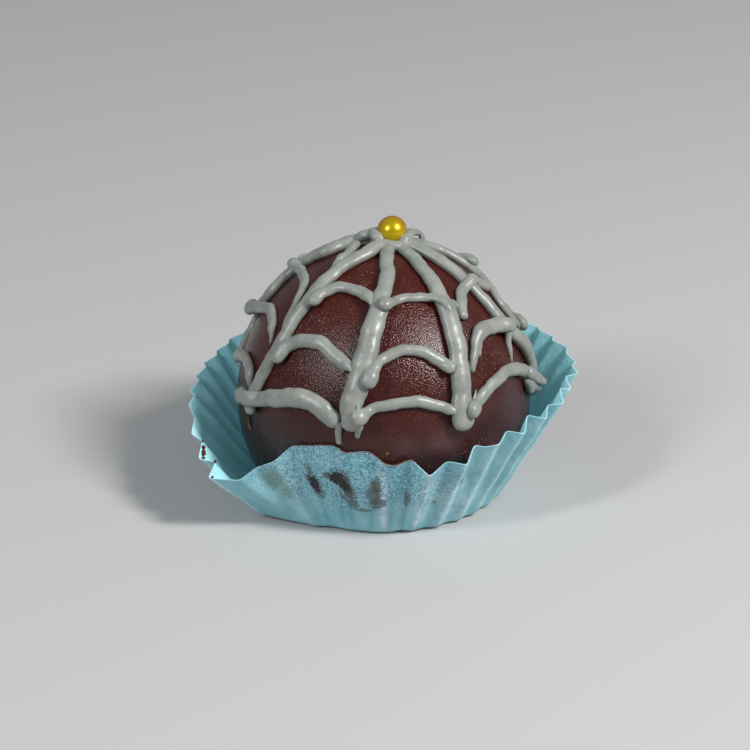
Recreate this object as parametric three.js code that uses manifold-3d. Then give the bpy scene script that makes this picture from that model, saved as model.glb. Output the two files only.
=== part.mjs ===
// A chocolate truffle in a pleated paper case: a flat-footed, slightly crowned ball dipped in dark
// chocolate, a spider's web piped over it in icing, and one sugar pearl set on the middle of the web.
// Millimetres, +Z up. The origin is the middle of the case's flat floor, on the surface it stands on.
// The front is -Y. A bearing is an angle in degrees about +Z, 0 at the front and positive towards +X.

import * as THREE from "three";
import { mergeVertices } from "three/addons/utils/BufferGeometryUtils.js";
import Module from "manifold-3d";

// Driving dimensions.
const BALL_RADIUS = 21;
const BALL_CENTRE_HEIGHT = 13.3;
const CROWN_HEIGHT = 1.2; // how far the ball's top stands above a true sphere
const CROWN_POWER = 3; // how fast the crown dies away down the ball
const BALL_FOOT_FILLET = 2.5;
const PAPER_THICKNESS = 0.3;
const CLEARANCE = 0.3; // between any two pieces
const CASE_CLEARANCE = 0.4; // between the ball and the case's flat facets
const BACK_PLEATS = 22; // outer folds of the wall's back, from its first station to its last
const BACK_PLEAT_DEPTH = 1.05; // from an outer fold in to the next inner one, at the rim
const BACK_INNER_FOLD = 0.52; // where an inner fold lies between two outer ones, as a share
const BACK_INNER_RISE = 0.25; // how far the rim stands up at an inner fold
const BACK_FOOT_RADIUS = 17.5;
const BACK_FOOT_DEPTH = 0.6; // of a pleat at the floor
const HUB_BEARING = 160; // where the middle of the web sits on the ball
const HUB_TILT = 9; // degrees down from the ball's top
const ICING_HEIGHT = 1.5; // of a piped line above the chocolate
const SPOKE_RADIUS = 1.3;
const THREAD_RADIUS = 0.95;
const THREAD_SQUARENESS = 2.5; // 2 is a plain parabola; more makes the thread's crown flatter
const HUB_RADIUS = 3.1;
const HUB_HEIGHT = 1.6;
const PEARL_RADIUS = 2.15;
const PEARL_SINK = 1.3; // how far the pearl is pressed into the web
const PEARL_LEAN = 0.45; // degrees from the middle of the web, towards the left
const CURL_RADIUS = 0.6; // of the thin loop of icing beside the pearl

// Facets.
const BALL_SEGMENTS = 32;
const BALL_ARC_STEPS = 13;
const FILLET_STEPS = 3;
const LINE_SIDES = 5;
const SPOKE_STEPS = 10;
const THREAD_STEPS = 6;
const CURL_STEPS = 10;
const PEARL_SEGMENTS = 14;
const WELD = 1e-4; // vertices closer than this are one

const BALL_BOTTOM = PAPER_THICKNESS + CLEARANCE;

// The folds of the case's wall from the left, past the flap at the front left, to the right. Each is a
// straight crease: a bearing, radius and height at the rim, and a bearing and radius at the floor.
const FRONT_FOLDS = [
  { bearing: -78, rim: 27.5, height: 12.5, footBearing: -77, foot: 18 },
  { bearing: -70, rim: 29, height: 12, footBearing: -71, foot: 19 },
  { bearing: -66.5, rim: 28, height: 11.5, footBearing: -66, foot: 19 },
  { bearing: -60.5, rim: 30, height: 10.5, footBearing: -61, foot: 20 },
  { bearing: -58, rim: 28, height: 10, footBearing: -58, foot: 20 },
  { bearing: -54, rim: 30.5, height: 9, footBearing: -55, foot: 21 },
  { bearing: -47.5, rim: 27.5, height: 9, footBearing: -41, foot: 19 },
  { bearing: -45.5, rim: 25, height: 10.5, footBearing: -36, foot: 18.5 },
  { bearing: -39.5, rim: 24, height: 12, footBearing: -32, foot: 18.5 },
  { bearing: -36, rim: 22, height: 14, footBearing: -29, foot: 18 },
  { bearing: -30.5, rim: 21.5, height: 14.5, footBearing: -25, foot: 17.5 },
  { bearing: -19.5, rim: 21.5, height: 15.5, footBearing: -18, foot: 17.5 },
  { bearing: -15, rim: 21.5, height: 14.5, footBearing: -14, foot: 17.5 },
  { bearing: -5.5, rim: 21.5, height: 15, footBearing: -5.5, foot: 17.5 },
  { bearing: -0.5, rim: 22, height: 13.5, footBearing: -0.5, foot: 17.5 },
  { bearing: 3, rim: 22, height: 13, footBearing: 2.5, foot: 17.5 },
  { bearing: 9.5, rim: 22, height: 14, footBearing: 8, foot: 17 },
  { bearing: 15, rim: 24, height: 12, footBearing: 13, foot: 17.5 },
  { bearing: 22, rim: 23, height: 13.5, footBearing: 19, foot: 17 },
  { bearing: 28, rim: 24.5, height: 13, footBearing: 25, foot: 17.5 },
  { bearing: 33, rim: 23, height: 15, footBearing: 30, foot: 17 },
  { bearing: 35.5, rim: 23.5, height: 14.5, footBearing: 32, foot: 17 },
  { bearing: 39.5, rim: 25, height: 15, footBearing: 37, foot: 17.5 },
  { bearing: 45, rim: 24, height: 16, footBearing: 41.5, foot: 17 },
  { bearing: 49, rim: 26, height: 15.5, footBearing: 46.5, foot: 17.5 },
  { bearing: 57, rim: 24, height: 16.5, footBearing: 53, foot: 17 },
  { bearing: 59.5, rim: 26.5, height: 16, footBearing: 57.5, foot: 17.5 },
  { bearing: 67, rim: 25, height: 16.5, footBearing: 63, foot: 17 },
  { bearing: 69.5, rim: 27, height: 16.5, footBearing: 68, foot: 17.5 },
  { bearing: 77.5, rim: 25.5, height: 17, footBearing: 74, foot: 17 },
  { bearing: 80, rim: 27, height: 16.5, footBearing: 79, foot: 17.5 },
  { bearing: 86.5, rim: 26, height: 17, footBearing: 84.5, foot: 17 },
  { bearing: 91, rim: 28, height: 16.5, footBearing: 90.5, foot: 17.5 },
  { bearing: 94.5, rim: 27, height: 17, footBearing: 94.5, foot: 17 },
  { bearing: 99, rim: 28, height: 16.5, footBearing: 99, foot: 17.5 },
  { bearing: 103.5, rim: 27, height: 17, footBearing: 103.5, foot: 17 },
];
// The outer folds of the wall's back: rim radius and height at bearings round it.
const BACK_STATIONS = [
  { bearing: 108, rim: 28, height: 16.9 },
  { bearing: 180, rim: 27.8, height: 17.2 },
  { bearing: 235, rim: 27.7, height: 15.2 },
  { bearing: 268, rim: 28.1, height: 13.6 },
  { bearing: 276, rim: 28.2, height: 13.1 },
];
const WALL_ROWS = [0, 0.1, 0.28, 0.5, 0.75, 1]; // how far up a crease each row of points lies

// The web's spokes, each a route from the web's middle to its own end: distances from the middle, in
// degrees of arc over the ball, and the bearing about the middle at each.
const SPOKES = [
  [
    { distance: 0, bearing: -40 },
    { distance: 26, bearing: -46 },
    { distance: 61, bearing: -52 },
    { distance: 88, bearing: -61 },
  ],
  [
    { distance: 0, bearing: -12 },
    { distance: 22, bearing: -5 },
    { distance: 87, bearing: -12 },
  ],
  [
    { distance: 0, bearing: 29 },
    { distance: 40, bearing: 31 },
    { distance: 86, bearing: 29 },
  ],
  [
    { distance: 0, bearing: 69 },
    { distance: 20, bearing: 63 },
    { distance: 40, bearing: 65 },
    { distance: 54, bearing: 70 },
    { distance: 67, bearing: 83 },
    { distance: 84, bearing: 82 },
  ],
  [
    { distance: 0, bearing: 112 },
    { distance: 20, bearing: 116 },
    { distance: 32, bearing: 108 },
    { distance: 43, bearing: 88 },
    { distance: 54, bearing: 88 },
    { distance: 74, bearing: 121 },
  ],
  [
    { distance: 0, bearing: 160 },
    { distance: 46, bearing: 166 },
    { distance: 80, bearing: 163 },
  ],
  [
    { distance: 0, bearing: 203 },
    { distance: 82, bearing: 211 },
  ],
  [
    { distance: 0, bearing: 238 },
    { distance: 24, bearing: 261 },
    { distance: 36, bearing: 257 },
    { distance: 50, bearing: 263 },
    { distance: 66, bearing: 252 },
    { distance: 79, bearing: 262 },
  ],
];

// The threads of each ring of the web. Each runs from a spoke to the next: the distances from the web's
// middle where it starts, at its crown, and where it ends.
const RINGS = [
  [
    { spoke: 0, start: 42, crown: 33, end: 41 },
    { spoke: 1, start: 40, crown: 34, end: 44 },
    { spoke: 2, start: 46, crown: 32, end: 36 },
    { spoke: 4, start: 32, crown: 30, end: 41 },
    { spoke: 5, start: 41, crown: 34, end: 42 },
    { spoke: 6, start: 43, crown: 32, end: 39 },
    { spoke: 7, start: 40, crown: 33, end: 50 },
  ],
  [
    { spoke: 0, start: 65, crown: 56, end: 67 },
    { spoke: 1, start: 67, crown: 55, end: 63 },
    { spoke: 2, start: 66, crown: 50, end: 56 },
    { spoke: 4, start: 62, crown: 53, end: 60 },
    { spoke: 5, start: 61, crown: 54, end: 62 },
    { spoke: 6, start: 63, crown: 53, end: 57 },
    { spoke: 7, start: 60, crown: 52, end: 63 },
  ],
  [
    { spoke: 0, start: 86, crown: 78, end: 85 },
    { spoke: 1, start: 81, crown: 75, end: 80 },
    { spoke: 2, start: 79, crown: 68, end: 77 },
    { spoke: 3, start: 82, crown: 76, end: 73 },
    { spoke: 4, start: 73, crown: 69, end: 75 },
    { spoke: 5, start: 77, crown: 70, end: 78 },
    { spoke: 6, start: 81, crown: 78, end: 78 },
    { spoke: 7, start: 78, crown: 73, end: 82 },
  ],
];

// The loop of icing that stands beside the pearl, as bearings, distances and heights over the ball.
const CURL = [
  { bearing: 30, distance: 6, height: 0.9 },
  { bearing: 107, distance: 6.2, height: 2 },
  { bearing: 136, distance: 14.3, height: 1.9 },
  { bearing: 120, distance: 13, height: 1.2 },
  { bearing: 72, distance: 9, height: 0.8 },
];

const degrees = THREE.MathUtils.degToRad;
const wasm = await Module();
wasm.setup();

// A closed geometry as a manifold-3d solid.
function solid(geometry) {
  const bare = geometry.clone();
  bare.deleteAttribute("normal");
  bare.deleteAttribute("uv");
  const merged = mergeVertices(bare, WELD);
  const vertProperties = new Float32Array(merged.attributes.position.array);
  const triVerts = new Uint32Array(merged.index.array);
  return new wasm.Manifold(new wasm.Mesh({ numProp: 3, vertProperties, triVerts }));
}

// A manifold-3d solid as a geometry.
function geometryOf(manifold) {
  const mesh = manifold.getMesh();
  const geometry = new THREE.BufferGeometry();
  geometry.setAttribute("position", new THREE.BufferAttribute(mesh.vertProperties, 3));
  geometry.setIndex(new THREE.BufferAttribute(mesh.triVerts, 1));
  geometry.computeVertexNormals();
  return geometry;
}

// A point at a radius and height, in the direction of a bearing in degrees.
function polar(bearing, radius, height) {
  const angle = degrees(bearing);
  return new THREE.Vector3(radius * Math.sin(angle), -radius * Math.cos(angle), height);
}

// The fillet between the ball's side and its flat foot: its centre's radius and height.
function footFillet() {
  const height = BALL_BOTTOM + BALL_FOOT_FILLET;
  const radius = Math.sqrt((BALL_RADIUS - BALL_FOOT_FILLET) ** 2 - (BALL_CENTRE_HEIGHT - height) ** 2);
  return { radius, height };
}

// The ball's radius at a height, on the fillet below it and on the sphere above.
function ballRadiusAt(height) {
  const fillet = footFillet();
  const drop = BALL_CENTRE_HEIGHT - fillet.height;
  const joint = BALL_CENTRE_HEIGHT - (drop * BALL_RADIUS) / (BALL_RADIUS - BALL_FOOT_FILLET);
  if (height < joint) {
    const up = Math.min(height, fillet.height) - fillet.height;
    return fillet.radius + Math.sqrt(Math.max(0, BALL_FOOT_FILLET ** 2 - up ** 2));
  }
  return Math.sqrt(BALL_RADIUS ** 2 - (height - BALL_CENTRE_HEIGHT) ** 2);
}

// The crown's height above the sphere, in a direction given by the cosine of its angle from straight up.
function crownAt(upward) {
  return CROWN_HEIGHT * Math.max(0, upward) ** CROWN_POWER;
}

// The ball, grown by a margin all over: a crowned sphere down to a rounded edge and a flat foot.
function ballGeometry(margin) {
  const fillet = footFillet();
  const edge = BALL_FOOT_FILLET + margin;
  const turn = Math.atan2(fillet.radius, BALL_CENTRE_HEIGHT - fillet.height); // from straight down
  const profile = [new THREE.Vector2(0, fillet.height - edge)];
  for (let i = 0; i <= FILLET_STEPS; i++) {
    const a = (turn * i) / FILLET_STEPS;
    profile.push(new THREE.Vector2(fillet.radius + edge * Math.sin(a), fillet.height - edge * Math.cos(a)));
  }
  for (let i = 1; i <= BALL_ARC_STEPS; i++) {
    const a = turn + ((Math.PI - turn) * i) / BALL_ARC_STEPS;
    const radius = BALL_RADIUS + crownAt(-Math.cos(a)) + margin;
    const across = i === BALL_ARC_STEPS ? 0 : radius * Math.sin(a);
    profile.push(new THREE.Vector2(across, BALL_CENTRE_HEIGHT - radius * Math.cos(a)));
  }
  return new THREE.LatheGeometry(profile, BALL_SEGMENTS).rotateX(Math.PI / 2);
}

// A value of a list of stations at any place along it, on straight lines between them.
function valueAt(stations, axis, place, key) {
  let i = 1;
  while (i < stations.length - 1 && stations[i][axis] < place) i++;
  const [from, to] = [stations[i - 1], stations[i]];
  const share = (place - from[axis]) / (to[axis] - from[axis]);
  return from[key] + (to[key] - from[key]) * THREE.MathUtils.clamp(share, 0, 1);
}

// One fold of the wall's back, on an outer fold's line or in from it by the depth of a pleat.
function backFold(bearing, inward) {
  return {
    bearing,
    rim: valueAt(BACK_STATIONS, "bearing", bearing, "rim") - BACK_PLEAT_DEPTH * inward,
    height: valueAt(BACK_STATIONS, "bearing", bearing, "height") + BACK_INNER_RISE * inward,
    footBearing: bearing,
    foot: BACK_FOOT_RADIUS - BACK_FOOT_DEPTH * inward,
  };
}

// Every fold round the case.
function caseFolds() {
  const first = BACK_STATIONS[0].bearing;
  const step = (BACK_STATIONS[BACK_STATIONS.length - 1].bearing - first) / (BACK_PLEATS - 1);
  const folds = [...FRONT_FOLDS];
  for (let i = 0; i < BACK_PLEATS; i++) {
    folds.push(backFold(first + step * i, 0));
    if (i + 1 < BACK_PLEATS) folds.push(backFold(first + step * (i + BACK_INNER_FOLD), 1));
  }
  return folds;
}

// One point of the case's wall: share runs up a fold from the foot, 0, to the rim, 1, and grow moves the
// point outwards through the paper. The inner face stays clear of the ball.
function wallPoint(fold, share, grow) {
  const foot = polar(fold.footBearing, fold.foot, 0);
  const point = foot.lerp(polar(fold.bearing, fold.rim, fold.height), share);
  const radius = Math.hypot(point.x, point.y);
  const inside = Math.max(radius - PAPER_THICKNESS, ballRadiusAt(point.z) + CASE_CLEARANCE);
  const stretch = (inside + grow) / radius;
  return new THREE.Vector3(point.x * stretch, point.y * stretch, point.z);
}

// A closed skin over a cup's rings of points, listed up its outside and then down its inside, between the
// middle of its underside and the middle of its floor. The four-sided patches are cut along the same
// diagonal on both sides, so that the two skins never cross in a twisted patch.
function cupSkin(underside, rings, floor) {
  const around = rings[0].length;
  const points = [underside, ...rings.flat(), floor];
  const index = [];
  const at = (ring, i) => 1 + ring * around + (i % around);
  for (let i = 0; i < around; i++) {
    index.push(0, at(0, i + 1), at(0, i));
    index.push(points.length - 1, at(rings.length - 1, i), at(rings.length - 1, i + 1));
    for (let ring = 0; ring + 1 < rings.length; ring++) {
      const [low, lowNext] = [at(ring, i), at(ring, i + 1)];
      const [high, highNext] = [at(ring + 1, i), at(ring + 1, i + 1)];
      if (ring < rings.length / 2) index.push(low, lowNext, highNext, low, highNext, high);
      else index.push(low, lowNext, high, lowNext, highNext, high);
    }
  }
  const geometry = new THREE.BufferGeometry().setFromPoints(points);
  geometry.setIndex(index);
  geometry.computeVertexNormals();
  return geometry;
}

// The paper case: a flat floor, and a pleated wall with a rim, all of one thickness of paper.
function caseGeometry() {
  const folds = caseFolds();
  const row = (share, grow) => folds.map((fold) => wallPoint(fold, share, grow));
  const outside = WALL_ROWS.map((share) => row(share, PAPER_THICKNESS));
  const inside = WALL_ROWS.map((share) => row(share, 0)).reverse();
  const innerFoot = inside[inside.length - 1];
  innerFoot.forEach((point) => point.setZ(PAPER_THICKNESS));
  return cupSkin(
    new THREE.Vector3(0, 0, 0),
    [...outside, ...inside],
    new THREE.Vector3(0, 0, PAPER_THICKNESS),
  );
}

// The turn that takes the ball's top to the middle of the web.
const hubTurn = new THREE.Quaternion().setFromUnitVectors(new THREE.Vector3(0, 0, 1), hubDirection());

function hubDirection() {
  return polar(HUB_BEARING, Math.sin(degrees(HUB_TILT)), Math.cos(degrees(HUB_TILT)));
}

// A point at a height above the ball's surface, at a bearing and a distance from the middle of the web, both
// in degrees.
function onBall(bearing, distance, height) {
  const point = polar(bearing, Math.sin(degrees(distance)), Math.cos(degrees(distance)));
  point.applyQuaternion(hubTurn);
  point.multiplyScalar(BALL_RADIUS + crownAt(point.z) + height);
  return point.add(new THREE.Vector3(0, 0, BALL_CENTRE_HEIGHT));
}

// The bearing of a spoke at a distance from the middle of the web.
function spokeBearing(spoke, distance) {
  return valueAt(spoke, "distance", distance, "bearing");
}

// A piped line over the ball, from its bearing and distance as functions of the share along it.
class PipedLine extends THREE.Curve {
  constructor(bearing, distance, lineRadius) {
    super();
    this.bearing = bearing;
    this.distance = distance;
    this.height = ICING_HEIGHT - lineRadius;
  }

  getPoint(t) {
    return onBall(this.bearing(t), this.distance(t), this.height);
  }
}

// A round section with a few sides.
function section(radius) {
  const shape = new THREE.Shape();
  for (let i = 0; i < LINE_SIDES; i++) {
    const angle = (2 * Math.PI * i) / LINE_SIDES;
    const [x, y] = [radius * Math.cos(angle), radius * Math.sin(angle)];
    if (i) shape.lineTo(x, y);
    else shape.moveTo(x, y);
  }
  return shape;
}

function pipedSolid(path, radius, steps) {
  return solid(new THREE.ExtrudeGeometry(section(radius), { extrudePath: path, steps, bevelEnabled: false }));
}

function spokeSolid(spoke) {
  const reach = spoke[spoke.length - 1].distance;
  const path = new PipedLine(
    (t) => spokeBearing(spoke, t * reach),
    (t) => t * reach,
    SPOKE_RADIUS,
  );
  return pipedSolid(path, SPOKE_RADIUS, SPOKE_STEPS);
}

// A thread from one spoke to the next: it rises steeply to a flat crown and falls to the next spoke.
function threadSolid({ spoke, start, crown, end }) {
  const first = spokeBearing(SPOKES[spoke], start);
  const second = spokeBearing(SPOKES[(spoke + 1) % SPOKES.length], end);
  const last = second < first ? second + 360 : second;
  const arch = (t) => 1 - Math.abs(2 * t - 1) ** THREAD_SQUARENESS;
  const level = (t) => start + (end - start) * t;
  const path = new PipedLine(
    (t) => first + (last - first) * t,
    (t) => level(t) - ((start + end) / 2 - crown) * arch(t),
    THREAD_RADIUS,
  );
  return pipedSolid(path, THREAD_RADIUS, THREAD_STEPS);
}

// The lump of icing where the spokes meet, with the pearl's seat in its top.
function hubSolid() {
  const lump = new THREE.SphereGeometry(HUB_RADIUS, PEARL_SEGMENTS, PEARL_SEGMENTS / 2).rotateX(Math.PI / 2);
  const centre = onBall(0, 0, 0);
  lump.scale(1, 1, HUB_HEIGHT / HUB_RADIUS).applyQuaternion(hubTurn);
  return solid(lump.translate(centre.x, centre.y, centre.z));
}

// The loop of icing beside the pearl.
function curlSolid() {
  const points = CURL.map(({ bearing, distance, height }) => onBall(bearing, distance, height));
  return pipedSolid(new THREE.CatmullRomCurve3(points), CURL_RADIUS, CURL_STEPS);
}

function pearlGeometry(margin) {
  const pearl = new THREE.SphereGeometry(PEARL_RADIUS + margin, PEARL_SEGMENTS, PEARL_SEGMENTS / 2 + 2);
  const centre = onBall(-90, PEARL_LEAN, HUB_HEIGHT - PEARL_SINK + PEARL_RADIUS);
  return pearl.translate(centre.x, centre.y, centre.z);
}

// The whole web as one piece of icing, with the ball and the pearl cut out of it.
function webGeometry() {
  const threads = RINGS.flat().map(threadSolid);
  const pieces = [hubSolid(), curlSolid(), ...SPOKES.map(spokeSolid), ...threads];
  const web = pieces.reduce((sum, piece) => sum.add(piece));
  const cut = web.subtract(solid(ballGeometry(CLEARANCE))).subtract(solid(pearlGeometry(CLEARANCE)));
  return geometryOf(cut);
}

function named(name, geometry, finish) {
  const mesh = new THREE.Mesh(geometry, new THREE.MeshStandardMaterial(finish));
  mesh.name = name;
  return mesh;
}

const truffle = new THREE.Group();
truffle.add(named("paper_case", caseGeometry(), { color: 0x7fb9c6, roughness: 0.85, metalness: 0 }));
truffle.add(named("truffle_body", ballGeometry(0), { color: 0x3a1a16, roughness: 0.4, metalness: 0 }));
truffle.add(named("icing_web", webGeometry(), { color: 0xa9ada2, roughness: 0.5, metalness: 0 }));
truffle.add(named("sugar_pearl", pearlGeometry(0), { color: 0xc9a312, roughness: 0.25, metalness: 0.3 }));

export default truffle;
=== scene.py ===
"""A chocolate truffle in a pleated paper case, with a web of piped icing and a sugar pearl on top.

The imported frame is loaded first, and a finely made piece then stands for each of its solids: the ball of
chocolate, the icing web, the pearl and the paper case. A few cake crumbs lie on the case.

Lengths are millimetres and angles are degrees, unless a name says otherwise. The origin is the middle of
the case's floor, +Z is up and the front is -Y. A bearing is an angle about +Z, 0 at the front and positive
towards +X.
"""

import logging
from dataclasses import asdict, dataclass, field
from enum import Enum

import bpy
import numpy as np
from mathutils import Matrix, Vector

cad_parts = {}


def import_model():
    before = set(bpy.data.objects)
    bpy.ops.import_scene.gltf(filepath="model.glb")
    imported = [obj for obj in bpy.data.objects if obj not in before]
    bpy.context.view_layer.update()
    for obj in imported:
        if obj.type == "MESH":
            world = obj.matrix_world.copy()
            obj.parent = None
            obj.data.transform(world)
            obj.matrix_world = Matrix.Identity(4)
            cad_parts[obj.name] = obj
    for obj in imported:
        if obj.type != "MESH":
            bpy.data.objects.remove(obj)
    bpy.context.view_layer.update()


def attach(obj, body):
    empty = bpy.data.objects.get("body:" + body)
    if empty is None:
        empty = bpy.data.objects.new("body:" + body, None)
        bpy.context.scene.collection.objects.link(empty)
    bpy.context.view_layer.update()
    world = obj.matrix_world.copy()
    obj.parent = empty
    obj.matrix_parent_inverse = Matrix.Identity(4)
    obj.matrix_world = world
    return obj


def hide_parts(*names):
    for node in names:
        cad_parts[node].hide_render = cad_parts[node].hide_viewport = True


LOG = logging.getLogger("truffle")
METRES = 0.001  # one millimetre
BODY = "root"
WANDER_RATES = (1.0, 1.7, 2.9)  # frequencies of an unevenness, as shares of the slowest
WANDER_SPAN = 1.5  # what the sum of its waves is divided by
Colour = tuple[float, float, float]


# ---------------------------------------------------------------------------------------------- surfaces


def polar(bearing: np.ndarray, radius: np.ndarray, height: np.ndarray) -> np.ndarray:
    """Points at a radius from the upright axis and a height, in the direction of a bearing.

    Args:
        bearing: Degrees about +Z from the front.
        radius: Distance from the axis.
        height: Height above the table.

    Returns:
        An array of points, with x = radius sin(bearing) and y = -radius cos(bearing).
    """
    angle = np.radians(bearing)
    x, y, z = np.broadcast_arrays(radius * np.sin(angle), -radius * np.cos(angle), height)
    return np.stack([x, y, z], axis=-1)


def unit(vectors: np.ndarray) -> np.ndarray:
    """Each vector divided by its own length."""
    return vectors / np.linalg.norm(vectors, axis=-1, keepdims=True)


def smooth_step(value: np.ndarray) -> np.ndarray:
    """0 below 0, 1 above 1 and 3t^2 - 2t^3 between."""
    share = np.clip(value, 0.0, 1.0)
    return share * share * (3.0 - 2.0 * share)


def wander(along: np.ndarray, period: float, seed: int) -> np.ndarray:
    """A smooth unevenness: sine waves with seeded phases, each as much lower as it is faster.

    Args:
        along: Where the value is wanted.
        period: Length of the slowest wave.
        seed: Seed of the phases.

    Returns:
        Values of about -1 to 1.
    """
    phases = np.random.default_rng(seed).uniform(0.0, 2.0 * np.pi, len(WANDER_RATES))
    turn = 2.0 * np.pi * along / period
    waves = [np.sin(turn * rate + phase) / rate for rate, phase in zip(WANDER_RATES, phases)]
    return sum(waves) / WANDER_SPAN


def between(value: np.ndarray, low: float, high: float, ease: float) -> np.ndarray:
    """1 well between low and high and 0 outside them, with smooth steps of a width of ease inside each."""
    return smooth_step((value - low) / ease) * smooth_step((high - value) / ease)


def soft_max(first: np.ndarray, second: np.ndarray, softness: float) -> np.ndarray:
    """The smooth maximum (a + b + sqrt((a - b)^2 + s^2)) / 2 for a softness s."""
    return (first + second + np.sqrt((first - second) ** 2 + softness**2)) / 2.0


def distance_along(points: np.ndarray) -> np.ndarray:
    """The length of a line of points up to each of them."""
    return np.concatenate([[0.0], np.cumsum(np.linalg.norm(np.diff(points, axis=0), axis=1))])


def bearing_of(points: np.ndarray) -> np.ndarray:
    """The bearings of points, in degrees."""
    return np.degrees(np.arctan2(points[..., 0], -points[..., 1]))


def sphere_directions(rings: int, around: int) -> np.ndarray:
    """Unit vectors all over a sphere, in evenly spaced rings from the top down, without the poles.

    Args:
        rings: How many rings.
        around: How many vectors a ring has.

    Returns:
        The vectors, shaped (rings, around, 3).
    """
    down = np.radians(180.0 * np.arange(1, rings + 1) / (rings + 1))[:, None]
    bearing = 360.0 * np.arange(around)[None] / around
    return polar(bearing, np.sin(down), np.cos(down))


@dataclass
class Skin:
    """A closed surface as arrays of points, four-sided and three-sided faces."""

    points: np.ndarray
    quads: np.ndarray
    triangles: np.ndarray

    @classmethod
    def over_rings(cls, first: np.ndarray, rings: np.ndarray, last: np.ndarray) -> "Skin":
        """The closed surface that starts in a point, runs over closed rings and ends in a point.

        The faces are turned to point outwards, by the sign of the volume that they enclose, which is a
        sixth of the sum of the triple products of each triangle's corners.

        Args:
            first: The point at the start.
            rings: Rings of points, shaped (rings, points in a ring, 3).
            last: The point at the end.

        Returns:
            The surface.
        """
        rows, columns = rings.shape[:2]
        points = np.vstack([first[None], rings.reshape(-1, 3), last[None]])
        here = np.arange(columns)
        beside = (here + 1) % columns
        row = 1 + columns * np.arange(rows - 1)[:, None]
        corners = [row + here, row + beside, row + columns + beside, row + columns + here]
        quads = np.stack(corners, axis=-1).reshape(-1, 4)
        end_row = 1 + columns * (rows - 1)
        start_fan = np.stack([np.zeros_like(here), 1 + beside, 1 + here], axis=-1)
        end_fan = np.stack([np.full_like(here, len(points) - 1), end_row + here, end_row + beside], axis=-1)
        triangles = np.vstack([start_fan, end_fan])
        halves = np.vstack([triangles, quads[:, :3], quads[:, [0, 2, 3]]])
        a, b, c = (points[halves[:, i]] for i in range(3))
        if np.sum(a * np.cross(b, c)) < 0.0:
            quads, triangles = quads[:, ::-1], triangles[:, ::-1]
        return cls(points, quads, triangles)

    @classmethod
    def joined(cls, skins: list["Skin"]) -> "Skin":
        """Several surfaces as one, each with its own points."""
        starts = np.cumsum([0] + [len(skin.points) for skin in skins[:-1]])
        return cls(
            np.vstack([skin.points for skin in skins]),
            np.vstack([skin.quads + start for skin, start in zip(skins, starts)]),
            np.vstack([skin.triangles + start for skin, start in zip(skins, starts)]),
        )

    def to_object(self, name: str) -> bpy.types.Object:
        """A smooth-shaded mesh object of the surface, in metres, with its place in its mesh.

        Args:
            name: The object's name.

        Returns:
            The object, linked to the scene.
        """
        mesh = bpy.data.meshes.new(name)
        faces = self.quads.tolist() + self.triangles.tolist()
        mesh.from_pydata((self.points * METRES).tolist(), [], faces)
        mesh.polygons.foreach_set("use_smooth", np.ones(len(faces), dtype=bool))
        mesh.update()
        made = bpy.data.objects.new(name, mesh)
        bpy.context.scene.collection.objects.link(made)
        return made


def paint(piece: bpy.types.Object, name: str, values: np.ndarray) -> None:
    """Stores one number for each point of a piece's mesh, for its material to read.

    Args:
        piece: The piece.
        name: The attribute's name.
        values: One value for each point, in the order of the mesh.
    """
    layer = piece.data.attributes.new(name, "FLOAT", "POINT")
    layer.data.foreach_set("value", values.astype(np.float32).ravel())


# --------------------------------------------------------------------------------------------- materials


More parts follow.
